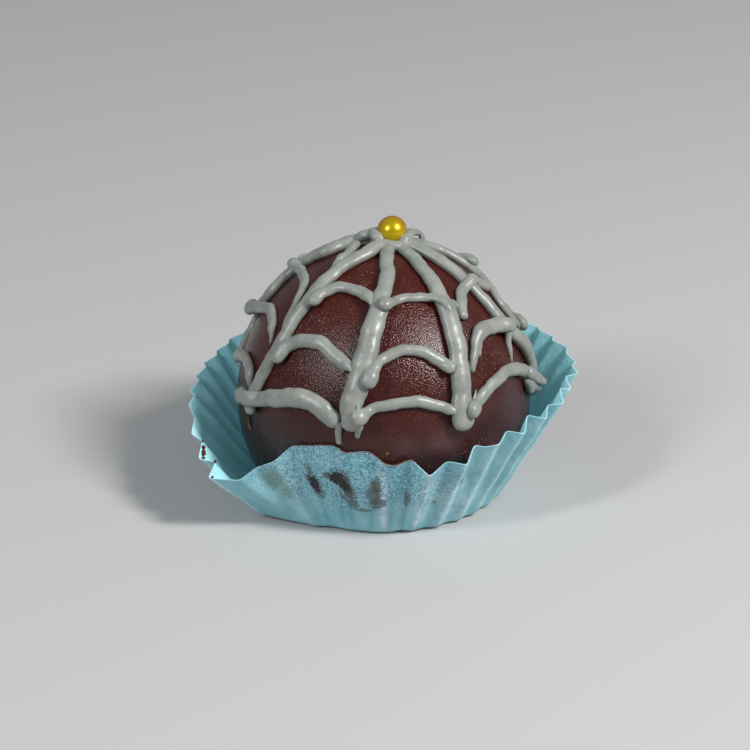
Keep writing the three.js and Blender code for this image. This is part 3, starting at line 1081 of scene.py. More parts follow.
@dataclass(frozen=True)
class BallForm:
    """The outer form of the chocolate ball, which the icing, the pearl and the case lie against."""

    radius: float = 21.0
    centre_height: float = 13.3
    crown_height: float = 1.2  # how far the top stands above a true sphere
    crown_power: float = 3.0
    foot_height: float = 0.35  # of the flat underside, just over the paper
    foot_softness: float = 1.6  # how round the edge of the underside is
    swell: float = 0.16  # slow unevenness of the dipped surface
    swell_rate: float = 2.2  # how fast its waves run, in radians to a radius
    swell_count: int = 3
    swell_seed: int = 5
    least_slope: float = 0.05  # keeps the distance to the foot's plane finite beside the ball
    hub_bearing: float = 160.0  # where the web's middle sits
    hub_tilt: float = 9.0  # its angle down from straight up

    @property
    def centre(self) -> np.ndarray:
        """The middle of the ball."""
        return np.array([0.0, 0.0, self.centre_height])

    def reach(self, direction: np.ndarray) -> np.ndarray:
        """Distance from the ball's centre to its surface.

        The radius, plus the crown times the cube of the upward cosine, plus three slow waves across the
        ball; it is then taken as the smooth minimum of that and the distance to the foot's plane, where
        min(a, b) is softened to (a + b - sqrt((a - b)^2 + s^2)) / 2.

        Args:
            direction: Unit vectors from the centre.

        Returns:
            One distance for each direction.
        """
        upward = direction[..., 2]
        distance = self.radius + self.crown_height * np.maximum(upward, 0.0) ** self.crown_power
        waves = np.random.default_rng(self.swell_seed).normal(size=(self.swell_count, 3))
        for wave in waves:
            swollen = self.swell * np.sin(direction @ (self.swell_rate * wave) + wave[0])
            distance = distance + swollen / self.swell_count
        to_foot = (self.centre_height - self.foot_height) / np.maximum(-upward, self.least_slope)
        return -soft_max(-distance, -to_foot, self.foot_softness)

    def hub_turn(self) -> np.ndarray:
        """The rotation that takes straight up to the web's middle.

        It is I + sin(tilt) K + (1 - cos(tilt)) K^2, K being the cross product with the axis.

        Returns:
            The rotation's matrix.
        """
        bearing, tilt = np.radians([self.hub_bearing, self.hub_tilt])
        axis = np.array([np.cos(bearing), np.sin(bearing), 0.0])
        cross = np.array([[0, 0, axis[1]], [0, 0, -axis[0]], [-axis[1], axis[0], 0]])
        return np.eye(3) + np.sin(tilt) * cross + (1.0 - np.cos(tilt)) * (cross @ cross)

    def web_direction(self, bearing: np.ndarray, distance: np.ndarray) -> np.ndarray:
        """Unit vectors from the centre, at bearings and angular distances about the web's middle."""
        away = np.radians(distance)
        return polar(bearing, np.sin(away), np.cos(away)) @ self.hub_turn().T

    def at(self, direction: np.ndarray, height: np.ndarray) -> np.ndarray:
        """Points at a height above the chocolate, in directions from the centre."""
        return self.centre + direction * (self.reach(direction) + height)[..., None]


@dataclass
class ChocolateBall:
    """The dipped ball itself."""

    form: BallForm
    finish: ChocolateFinish = field(default_factory=ChocolateFinish)
    rings: int = 150
    around: int = 300

    def build(self, effects: EffectLibrary) -> bpy.types.Object:
        """The ball: its form's reach in every direction.

        Args:
            effects: The shared effects.

        Returns:
            The finished piece.
        """
        direction = sphere_directions(self.rings, self.around)
        points = self.form.at(direction, np.zeros(direction.shape[:2]))
        top, foot = self.form.at(np.array([[0.0, 0.0, 1.0], [0.0, 0.0, -1.0]]), np.zeros(2))
        piece = Skin.over_rings(top, points, foot).to_object("chocolate_ball")
        piece.data.materials.append(self.finish.build(effects))
        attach(piece, BODY)
        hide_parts("truffle_body")
        return piece


# ---------------------------------------------------------------------------------------------- the icing


class StrokeEnd(Enum):
    """How one end of a piped stroke looks."""

    ROUND = "round"
    BLOB = "blob"
    TAIL = "tail"


@dataclass(frozen=True)
class Stroke:
    """One stroke of the piping bag over the ball.

    Its route is a list of (bearing, distance) about the web's middle, with an optional third number, the
    height of the stroke's underside above the chocolate. Widths are spread evenly along it.
    """

    route: tuple[tuple[float, ...], ...]
    widths: tuple[float, ...] = (2.0,)
    start: StrokeEnd = StrokeEnd.ROUND
    end: StrokeEnd = StrokeEnd.ROUND
    blob: float = 1.3  # width of a blob, as a share of the stroke's own


BLOB, TAIL, ROUND = StrokeEnd.BLOB, StrokeEnd.TAIL, StrokeEnd.ROUND

# The spokes, in order round the web from the front left. Bearings run on from one to the next.
SPOKES: tuple[Stroke, ...] = (
    Stroke(
        ((-38, 5), (-40, 15), (-47, 26), (-49, 36), (-50, 47), (-52, 61), (-55, 71), (-61, 87)),
        (2.3, 2.2, 2.0, 1.9, 2.0),
    ),
    Stroke(
        ((-14, 5), (-8, 17), (-4, 24), (-6, 36), (-8, 48), (-11, 67), (-13, 77), (-12, 87)),
        (1.9, 2.0, 2.3, 2.9, 3.2, 3.3, 3.0),
    ),
    Stroke(
        ((29, 6), (30, 18), (31, 30), (31, 46), (30, 62), (29, 75), (29, 86.5)),
        (1.9, 2.0, 2.3, 2.8, 2.8, 2.9, 3.5),
    ),
    Stroke(
        ((70, 6), (64, 17), (63, 27), (65, 40), (70, 54), (78, 61), (83, 67))
        + ((86.5, 75), (84, 80), (79.5, 83.5)),
        (2.2, 2.1, 2.0, 1.9, 2.1, 2.5, 2.2, 1.5),
    ),
    Stroke(
        ((110, 6), (116, 20), (108, 32), (97, 38), (88, 43), (85, 48), (88, 54))
        + ((98, 60), (109, 66), (121, 74)),
        (2.0, 1.8, 1.9, 1.6, 1.4, 1.4, 1.4, 1.4),
    ),
    Stroke(((160, 5), (163, 26), (166, 46), (164, 64), (163, 80)), (2.2, 2.1, 2.4, 2.8)),
    Stroke(((203, 5), (204, 24), (208, 44), (210, 62), (211, 82)), (2.1, 2.2, 2.3, 2.7)),
    Stroke(
        ((236, 8), (251, 17), (263, 24), (260, 30), (257, 36), (259, 42), (263, 48))
        + ((263, 54), (257, 60), (252, 66), (253, 72), (262, 79)),
        (2.3, 2.4, 2.2, 2.1, 2.0, 1.8, 1.7),
    ),
)

# The threads of the web at the front and sides, each from its first blob to its tail.
THREADS: tuple[Stroke, ...] = (
    Stroke(
        ((-44, 42), (-43, 38.5), (-37, 34.5), (-26, 33.5), (-15, 36), (-10, 41)),
        (2.05, 1.75, 1.65, 1.8, 1.8),
        BLOB,
        TAIL,
        1.1,
    ),
    Stroke(
        ((-3, 40.5), (4, 36), (14, 35), (23, 35.5), (28, 38.5), (33, 47)),
        (1.6, 1.4, 1.4, 1.3, 1.0),
        BLOB,
        TAIL,
        1.45,
    ),
    Stroke(
        ((40, 46), (43, 40.5), (51, 35), (63, 33), (75, 34.5), (83, 37.5)),
        (1.75, 1.7, 1.7, 1.8, 1.7),
        ROUND,
        BLOB,
        1.05,
    ),
    Stroke(((32, 40), (38, 39.5), (43, 41.5)), (0.9, 1.1, 1.2), ROUND, ROUND),
    Stroke(
        ((-108, 40), (-88, 35.5), (-70, 36), (-61, 40.5), (-57.5, 47), (-58, 56)),
        (1.9, 1.55, 1.5, 1.4, 1.1, 0.9),
        ROUND,
        TAIL,
    ),
    Stroke(
        ((-101, 61), (-88, 55.5), (-75, 53), (-66, 55.5), (-62, 60), (-61, 63.5)),
        (2.2, 1.8, 1.7, 1.5, 1.2),
        BLOB,
        TAIL,
        1.2,
    ),
    Stroke(
        ((-49, 65.5), (-47, 61.5), (-41, 58), (-32, 57), (-24, 60), (-15, 64.5), (-13.5, 67)),
        (2.1, 2.0, 2.1, 2.0, 1.6),
        BLOB,
        TAIL,
        1.15,
    ),
    Stroke(
        ((-7, 67.5), (-4, 61), (2, 57), (9, 56), (16, 57), (21, 60), (26.5, 64.5)),
        (1.95, 1.6, 1.6, 1.7, 2.0),
        BLOB,
        ROUND,
        1.35,
    ),
    Stroke(
        ((37, 66), (39, 60), (44, 53.5), (51, 51), (60, 51.5), (67, 53.5), (74, 55.5)),
        (0.9, 1.5, 2.2, 2.3, 2.2, 2.2),
        ROUND,
        TAIL,
    ),
    Stroke(((67, 53), (66, 60), (65, 67.5)), (1.4, 1.15, 0.9), ROUND, TAIL),
    Stroke(((45.5, 54.5), (43, 57), (41, 60.5)), (1.3, 1.2, 1.15)),
    Stroke(
        ((-92, 78), (-81, 74.5), (-73, 73.5), (-67, 76), (-65.5, 80), (-66, 84)),
        (1.8, 1.7, 1.6),
        BLOB,
        TAIL,
        1.1,
    ),
    Stroke(
        ((-68, 86), (-56, 84), (-46, 81), (-36, 78.5), (-28, 78.5), (-22, 82), (-17, 84.5)),
        (2.4, 2.1, 2.2, 2.6, 2.8, 2.7, 2.5),
        BLOB,
        ROUND,
        1.1,
    ),
    Stroke(((-18, 83.5, 0.2), (-17.5, 87.5, 0.1), (-17.5, 90.5), (-17.5, 93.5)), (2.3, 1.1, 0.9, 0.8)),
    Stroke(
        ((-9, 80.5), (-5, 78), (4, 75.5), (13, 75), (21, 77), (28, 80.5)),
        (2.0, 1.5, 1.55, 1.65, 1.6, 1.2),
        BLOB,
        TAIL,
        1.3,
    ),
    Stroke(
        ((32, 78.5, 0.3), (38, 75.5, 0.2), (46, 71.5), (54, 69), (62, 69), (69, 71), (73.5, 74)),
        (1.95, 1.8, 1.8, 1.9, 2.1),
        BLOB,
        ROUND,
        1.2,
    ),
    Stroke(((102, 61.5), (112, 57), (128, 53), (145, 54), (160, 60)), (1.9, 1.8, 1.8), BLOB, TAIL, 1.2),
    Stroke(((89, 83), (97, 80), (106, 77), (114, 77), (121, 79)), (1.3, 1.7, 1.9), ROUND, TAIL),
    Stroke(
        ((-76, 14, 0.5), (-60, 18, 0.5), (-54, 22, 0.3), (-51, 28, 0.1)),
        (1.4, 1.3, 1.3),
        BLOB,
        TAIL,
        1.15,
    ),
)

# Short peaks and drips where the nozzle was lifted away.
PEAKS: tuple[Stroke, ...] = (
    Stroke(((-10, 81, 1.6), (-10, 78, 2.0), (-11, 75, 2.1)), (0.9, 0.8, 0.7), end=TAIL),
    Stroke(((-9.8, 83, 0.7), (-10.2, 87, 0.4), (-10.5, 90, 0.2)), (1.6, 1.0, 0.6)),
    Stroke(((33, 77, 1.0), (34, 75, 1.1), (36, 72, 1.2)), (0.8, 0.7, 0.6), end=TAIL),
    Stroke(((70, 72, 0.4), (75, 75, 0.8), (78, 78, 1.7), (79, 79.5, 2.6)), (2.2, 2.1, 1.7, 1.1)),
    Stroke(((74, 77, 0.3), (79, 80.5, 0.8), (83, 82.5, 1.3)), (2.0, 1.6, 1.0)),
    Stroke(((71, 74, 0.2), (74, 79, 0.2), (75, 82, 0.2)), (1.8, 2.0, 1.9)),
    Stroke(((-15, 64.5, 1.3), (-14, 66.5, 1.4), (-13, 68.5, 1.3)), (1.0, 0.8, 0.6), end=TAIL),
    Stroke(((-60.5, 83, 0.3), (-60, 88, 0.25), (-59.5, 91.3, 0.15)), (2.2, 2.1, 1.9)),
)

# The icing round the pearl: the collar that grips it, the curl on its right, the peak on its left, its back.
HUB_STROKES: tuple[Stroke, ...] = (
    Stroke(tuple((float(bearing), 6.0, 0.2) for bearing in range(-100, 240, 30)), (1.9, 2.0, 1.8)),
    Stroke(
        ((30, 5.8, 0.6), (65, 5.0, 1.25), (107, 5.8, 1.6), (124, 9.4, 1.7), (136, 13.8, 1.6))
        + ((137, 15.2, 1.3), (125, 13.4, 0.9), (100, 10.4, 0.65), (74, 8.6, 0.4), (54, 7.8, 0.2)),
        (1.9, 1.7, 1.4, 1.1, 0.95, 0.85, 0.9, 1.1),
    ),
    Stroke(
        ((-45, 7, 0.6), (-80, 5.7, 1.15), (-99, 6.3, 1.5), (-107, 8.6, 0.95), (-109, 12.5, 0.45))
        + ((-108, 17, 0.1),),
        (2.2, 2.1, 1.8, 2.2, 2.3, 2.0),
        end=TAIL,
    ),
    Stroke(((220, 5.5, 0.7), (180, 5.2, 1.0), (140, 5.2, 1.0), (110, 5.4, 1.2)), (1.6, 1.8, 1.8, 1.5)),
)


@dataclass(frozen=True)
class Bay:
    """A thread at the back, from one spoke to the next: its distances from the web's middle."""

    spoke: int  # the first of the two
    start: float
    crown: float
    end: float


# The rings of threads at the back, from the pearl outwards: the widths of a ring's threads, and its bays.
BACK_RINGS: tuple[tuple[tuple[float, ...], tuple[Bay, ...]], ...] = (
    ((1.6, 1.6, 1.7), (Bay(4, 32, 30, 41), Bay(5, 41, 34, 42), Bay(6, 43, 32, 39))),
    ((1.9, 1.8, 1.8), (Bay(5, 61, 54, 62), Bay(6, 63, 53, 57))),
    ((2.2, 2.1, 2.0), (Bay(4, 76, 69, 75), Bay(5, 77, 70, 78), Bay(6, 84, 82, 84))),
)


@dataclass
class IcingWeb:
    """The web of piped icing: spokes, threads, the mound that the pearl sits in, and the curl beside it."""

    form: BallForm
    finish: IcingFinish = field(default_factory=IcingFinish)
    sides: int = 18
    step: float = 0.28  # along a stroke
    flatness: float = 0.76  # a stroke's height as a share of its width
    sink: float = 0.2  # how deep its underside lies in the chocolate
    ride: float = 0.8  # how far a thread rises where it crosses a spoke, as a share of the spoke's height
    ride_reach: float = 0.5  # how far from the spoke's side it starts to rise
    blob_reach: float = 0.85  # of an end blob, in widths
    tail_reach: float = 2.4  # length over which a tail thins
    tail_width: float = 0.35  # share of the width that is left at a tail's end
    least_cap: float = 0.25  # shortest rounding of an end
    ripple: float = 0.038  # unevenness of the width, as a share of it
    ripple_period: float = 4.6
    sway: float = 0.085  # unevenness of the route
    sway_period: float = 5.3
    knot_points: int = 40  # points worked out for each knot of a route, before they are evened out
    least_points: int = 8  # of a whole stroke
    ride_passes: int = 5  # of the average that eases a thread over a spoke
    sag_points: int = 7  # of a back thread's route
    sag_power: float = 2.5
    back_blob: float = 1.2
    melt: float = 0.12  # the grid on which the icing round the pearl is melted together
    melt_passes: int = 4  # of smoothing, after that
    mound_radius: float = 3.2
    mound_height: float = 1.5
    mound_unevenness: float = 0.12  # of its edge, as a share of its radius
    mound_edge: float = 0.3  # how far its edge lies below the chocolate's surface
    mound_depth: float = 0.9  # how deep it is closed there
    mound_around: int = 48
    mound_rings: int = 12
    mound_innermost: float = 0.04  # its smallest ring, as a share of its radius
    thread_seed: int = 20  # the unevenness of the threads, and so on, starts from these
    peak_seed: int = 60
    mound_seed: int = 77
    hub_seed: int = 80
    sway_seed: int = 100

    def build(self, effects: EffectLibrary) -> list[bpy.types.Object]:
        """The web: the piped strokes as one piece, and the icing melted round the pearl as another.

        Args:
            effects: The shared effects.

        Returns:
            The finished pieces.
        """
        material = self.finish.build(effects)
        spokes = [self._sweep(stroke, i) for i, stroke in enumerate(SPOKES)]
        threads = [*THREADS, *self._back_threads()]
        draped = [self._sweep(stroke, self.thread_seed + i, drape=True) for i, stroke in enumerate(threads)]
        peaks = [self._sweep(stroke, self.peak_seed + i) for i, stroke in enumerate(PEAKS)]
        web = Skin.joined([*spokes, *draped, *peaks]).to_object("piped_web")
        hub = [self._sweep(stroke, self.hub_seed + i) for i, stroke in enumerate(HUB_STROKES)]
        middle = Skin.joined([*hub, self._mound()]).to_object("web_middle")
        melt = middle.modifiers.new("melt", "REMESH")
        melt.mode = "VOXEL"
        melt.voxel_size = self.melt * METRES
        melt.use_smooth_shade = True
        soften = middle.modifiers.new("soften", "SMOOTH")
        soften.factor = 0.5
        soften.iterations = self.melt_passes
        for piece in (web, middle):
            piece.data.materials.append(material)
            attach(piece, BODY)
            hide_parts("icing_web")
        return [web, middle]

    def _route(self, stroke: Stroke) -> tuple[np.ndarray, np.ndarray]:
        """A stroke's route at even steps.

        The route's points are taken as unit vectors and joined by Catmull-Rom cubics: between points b and
        c, with neighbours a and d, the value at t is b + t/2 (c - a) + t^2/2 (2a - 5b + 4c - d)
        + t^3/2 (3b - a - 3c + d). A blob's middle is the route's end, so the bead runs on half a width.

        Args:
            stroke: The stroke.

        Returns:
            Unit vectors from the ball's centre, and the underside's height above the chocolate at each.
        """
        table = np.array([(*point, 0.0)[:3] for point in stroke.route])
        knots = np.column_stack([self.form.web_direction(table[:, 0], table[:, 1]), table[:, 2]])
        padded = np.vstack([2 * knots[0] - knots[1], knots, 2 * knots[-1] - knots[-2]])
        t = np.linspace(0.0, len(knots) - 1.0, self.knot_points * len(knots))
        i = np.minimum(t.astype(int), len(knots) - 2)
        t = (t - i)[:, None]
        a, b, c, d = (padded[i + shift] for shift in range(4))
        bend = t**2 / 2 * (2 * a - 5 * b + 4 * c - d) + t**3 / 2 * (3 * b - a - 3 * c + d)
        line = b + t / 2 * (c - a) + bend
        if stroke.start is BLOB:
            line = np.vstack([self._beyond(line[0], line[3], stroke.widths[0] * stroke.blob), line])
        if stroke.end is BLOB:
            line = np.vstack([line, self._beyond(line[-1], line[-4], stroke.widths[-1] * stroke.blob)])
        direction, height = unit(line[:, :3]), line[:, 3]
        places = direction * (self.form.radius + height)[:, None]
        run = distance_along(places)
        even = np.linspace(0.0, run[-1], max(self.least_points, int(run[-1] / self.step)))
        direction = np.column_stack([np.interp(even, run, direction[:, k]) for k in range(3)])
        return unit(direction), np.interp(even, run, height)

    def _beyond(self, last: np.ndarray, before: np.ndarray, width: float) -> np.ndarray:
        """A point half a width beyond the end of a line of directions and heights."""
        onward = unit(last[:3] - before[:3]) * 0.5 * width / self.form.radius
        return np.append(last[:3] + onward, last[3])

    def _ride(self, base: np.ndarray) -> np.ndarray:
        """How far a thread is lifted at each step by the spokes beneath it.

        Over a spoke the lift is its share of the spoke's height, times sqrt(1 - (d / r)^2) at a distance d
        from the spoke's middle line, r being half the spoke's width and a little more. Passes of a
        three-step average then ease it.

        Args:
            base: The thread's points on the chocolate.

        Returns:
            The lifts.
        """
        lift = np.zeros(len(base))
        for spoke in SPOKES:
            direction, _ = self._route(spoke)
            middle = self.form.at(direction, np.zeros(len(direction)))
            width = self._widths(spoke, np.linspace(0.0, 1.0, len(middle)))
            gap = np.linalg.norm(base[:, None] - middle[None], axis=-1) / (0.5 * width + self.ride_reach)
            rise = self.ride * (self.flatness * width - self.sink) * np.sqrt(np.maximum(1.0 - gap**2, 0.0))
            lift = np.maximum(lift, rise.max(axis=1))
        for _ in range(self.ride_passes):
            padded = np.concatenate([lift[:1], lift, lift[-1:]])
            lift = (padded[:-2] + padded[1:-1] + padded[2:]) / 3.0
        return lift

    @staticmethod
    def _widths(stroke: Stroke, share: np.ndarray) -> np.ndarray:
        """A stroke's widths at shares of its length."""
        return np.interp(share, np.linspace(0.0, 1.0, len(stroke.widths)), stroke.widths)

    def _sweep(self, stroke: Stroke, seed: int, drape: bool = False) -> Skin:
        """A stroke as a closed bead.

        At each step the section is an ellipse as wide as the stroke and a little lower, standing on the
        chocolate. The width is swollen by a fourth-power bell at a blob, thinned along a tail, and closed
        at each end by a quarter circle, sqrt(1 - (1 - s/r)^2) at a distance s under r from the end.

        Args:
            stroke: The stroke.
            seed: Seed of its unevenness.
            drape: Whether it lies over the spokes that it crosses.

        Returns:
            The bead.
        """
        direction, lift = self._route(stroke)
        base = self.form.at(direction, lift)
        if drape:
            base = base + direction * self._ride(base)[:, None]
        run = distance_along(base)
        width = self._widths(stroke, run / run[-1])
        width = width * (1.0 + self.ripple * wander(run, self.ripple_period, seed))
        for end, left in ((stroke.start, run), (stroke.end, run[-1] - run)):
            if end is BLOB:
                swell = np.exp(-(((left / width - 0.5) / self.blob_reach) ** 4))
                width = width * (1.0 + (stroke.blob - 1.0) * swell)
            elif end is TAIL:
                thin = smooth_step(left / self.tail_reach)
                width = width * (self.tail_width + (1.0 - self.tail_width) * thin)
        cap = np.ones_like(run)
        for left in (run, run[-1] - run):
            inner = np.clip(left / np.maximum(0.5 * width, self.least_cap), 0.0, 1.0)
            cap = cap * np.sqrt(np.maximum(1.0 - (1.0 - inner) ** 2, 0.0))
        half = 0.5 * width * cap
        tangent = unit(np.gradient(base, axis=0))
        side = unit(np.cross(tangent, direction))
        up = np.cross(side, tangent)
        centre = base + direction * (self.flatness * 0.5 * width - self.sink)[:, None]
        sway = self.sway * wander(run, self.sway_period, seed + self.sway_seed)
        centre = centre + side * sway[:, None]
        angle = 2.0 * np.pi * np.arange(self.sides) / self.sides
        across = side[:, None] * np.cos(angle)[None, :, None]
        above = self.flatness * up[:, None] * np.sin(angle)[None, :, None]
        rings = centre[:, None] + half[:, None, None] * (across + above)
        return Skin.over_rings(centre[0], rings[1:-1], centre[-1])

    def _back_threads(self) -> list[Stroke]:
        """The threads of the bays at the back.

        Each sags from one spoke to the next: its distance from the web's middle is a straight line between
        its ends, less a rise that is flat at the crown, 1 - |2t - 1|^p.

        Returns:
            The strokes.
        """
        share = np.linspace(0.0, 1.0, self.sag_points)
        rise = 1.0 - np.abs(2.0 * share - 1.0) ** self.sag_power
        made = []
        for widths, bays in BACK_RINGS:
            for bay in bays:
                first = self._spoke_bearing(bay.spoke, bay.start)
                last = self._spoke_bearing(bay.spoke + 1, bay.end)
                sag = 0.5 * (bay.start + bay.end) - bay.crown
                distance = bay.start + (bay.end - bay.start) * share - sag * rise
                bearing = first + (last - first) * share
                route = tuple(zip(bearing.tolist(), distance.tolist()))
                made.append(Stroke(route, widths, BLOB, TAIL, self.back_blob))
        return made

    @staticmethod
    def _spoke_bearing(spoke: int, distance: float) -> float:
        """The bearing of a spoke's route at a distance from the web's middle."""
        bearings, distances = np.array(SPOKES[spoke].route).T
        return np.interp(distance, distances, bearings)

    def _mound(self) -> Skin:
        """The mound under the pearl: a dome whose height over the chocolate is sqrt(1 - r^2) times its own.

        Returns:
            The dome, closed under the chocolate.
        """
        bearing = 360.0 * np.arange(self.mound_around) / self.mound_around
        share = np.linspace(self.mound_innermost, 1.0, self.mound_rings)
        uneven = self.mound_unevenness * wander(bearing, 180.0, self.mound_seed)
        spread = np.degrees(self.mound_radius * (1.0 + uneven) / self.form.radius)
        away = share[:, None] * spread[None]
        over = self.mound_height * np.sqrt(np.maximum(1.0 - share**2, 0.0)) - self.mound_edge * share
        direction = self.form.web_direction(np.broadcast_to(bearing, away.shape), away)
        upper = self.form.at(direction, np.broadcast_to(over[:, None], away.shape))
        lower = self.form.at(direction[::-1], np.full(away.shape, -self.mound_depth))
        middle = self.form.web_direction(np.zeros(2), np.zeros(2))
        top, foot = self.form.at(middle, np.array([self.mound_height, -self.mound_depth]))
        return Skin.over_rings(top, np.concatenate([upper, lower]), foot)


@dataclass
class SugarPearl:
    """The sugar pearl on the web's middle."""

    form: BallForm
    finish: PearlFinish = field(default_factory=PearlFinish)
    radius: float = 2.15
    rise: float = 2.18  # of its middle above the chocolate
    offset: float = 0.45  # degrees from the web's middle
    offset_bearing: float = -90.0  # to the left
    rings: int = 48
    around: int = 96
    dimple: float = 0.02  # slow unevenness of the sugar shell
    dimple_rates: tuple[float, float] = (3.0, 4.0)  # of its waves across and upwards

    def build(self, effects: EffectLibrary) -> bpy.types.Object:
        """The pearl: a sphere with a very slight unevenness, sin(ax + 1) + sin(bz) over its directions.

        Args:
            effects: The shared effects.

        Returns:
            The finished piece.
        """
        direction = sphere_directions(self.rings, self.around)
        across, upward = self.dimple_rates
        uneven = np.sin(across * direction[..., 0] + 1.0) + np.sin(upward * direction[..., 2])
        seat = self.form.web_direction(np.array([self.offset_bearing]), np.array([self.offset]))
        middle = self.form.at(seat, np.array([self.rise]))[0]
        points = middle + direction * (self.radius + self.dimple * (uneven - 1.0))[..., None]
        pole = np.array([0.0, 0.0, self.radius - self.dimple])
        piece = Skin.over_rings(middle + pole, points, middle - pole).to_object("sugar_pearl_shell")
        piece.data.materials.append(self.finish.build(effects))
        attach(piece, BODY)
        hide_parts("sugar_pearl")
        return piece


# ----------------------------------------------------------------------------------------- the paper case


@dataclass(frozen=True)
class Fold:
    """One fold of the case's wall: a straight crease from the floor up to the rim."""

    bearing: float  # at the rim
    rim: float  # radius there
    height: float  # of the rim
    foot_bearing: float
    foot: float  # radius at the floor


# The folds from the left, past the flap at the front left, to the right.
FRONT_FOLDS: tuple[Fold, ...] = (
    Fold(-78, 27.5, 12.5, -77, 18),
    Fold(-70, 29, 12, -71, 19),
    Fold(-66.5, 28, 11.5, -66, 19),
    Fold(-60.5, 30, 10.5, -61, 20),
    Fold(-58, 28, 10, -58, 20),
    Fold(-54, 30.5, 9, -55, 21),
    Fold(-47.5, 27.5, 9, -41, 19),
    Fold(-45.5, 25, 10.5, -36, 18.5),
    Fold(-39.5, 24, 12, -32, 18.5),
    Fold(-36, 22, 14, -29, 18),
    Fold(-30.5, 21.5, 14.5, -25, 17.5),
    Fold(-19.5, 21.5, 15.5, -18, 17.5),
    Fold(-15, 21.5, 14.5, -14, 17.5),
    Fold(-5.5, 21.5, 15, -5.5, 17.5),
    Fold(-0.5, 22, 13.5, -0.5, 17.5),
    Fold(3, 22, 13, 2.5, 17.5),
    Fold(9.5, 22, 14, 8, 17),
    Fold(15, 24, 12, 13, 17.5),
    Fold(22, 23, 13.5, 19, 17),
    Fold(28, 24.5, 13, 25, 17.5),
    Fold(33, 23, 15, 30, 17),
    Fold(35.5, 23.5, 14.5, 32, 17),
    Fold(39.5, 25, 15, 37, 17.5),
    Fold(45, 24, 16, 41.5, 17),
    Fold(49, 26, 15.5, 46.5, 17.5),
    Fold(57, 24, 16.5, 53, 17),
    Fold(59.5, 26.5, 16, 57.5, 17.5),
    Fold(67, 25, 16.5, 63, 17),
    Fold(69.5, 27, 16.5, 68, 17.5),
    Fold(77.5, 25.5, 17, 74, 17),
    Fold(80, 27, 16.5, 79, 17.5),
    Fold(86.5, 26, 17, 84.5, 17),
    Fold(91, 28, 16.5, 90.5, 17.5),
    Fold(94.5, 27, 17, 94.5, 17),
    Fold(99, 28, 16.5, 99, 17.5),
    Fold(103.5, 27, 17, 103.5, 17),
)


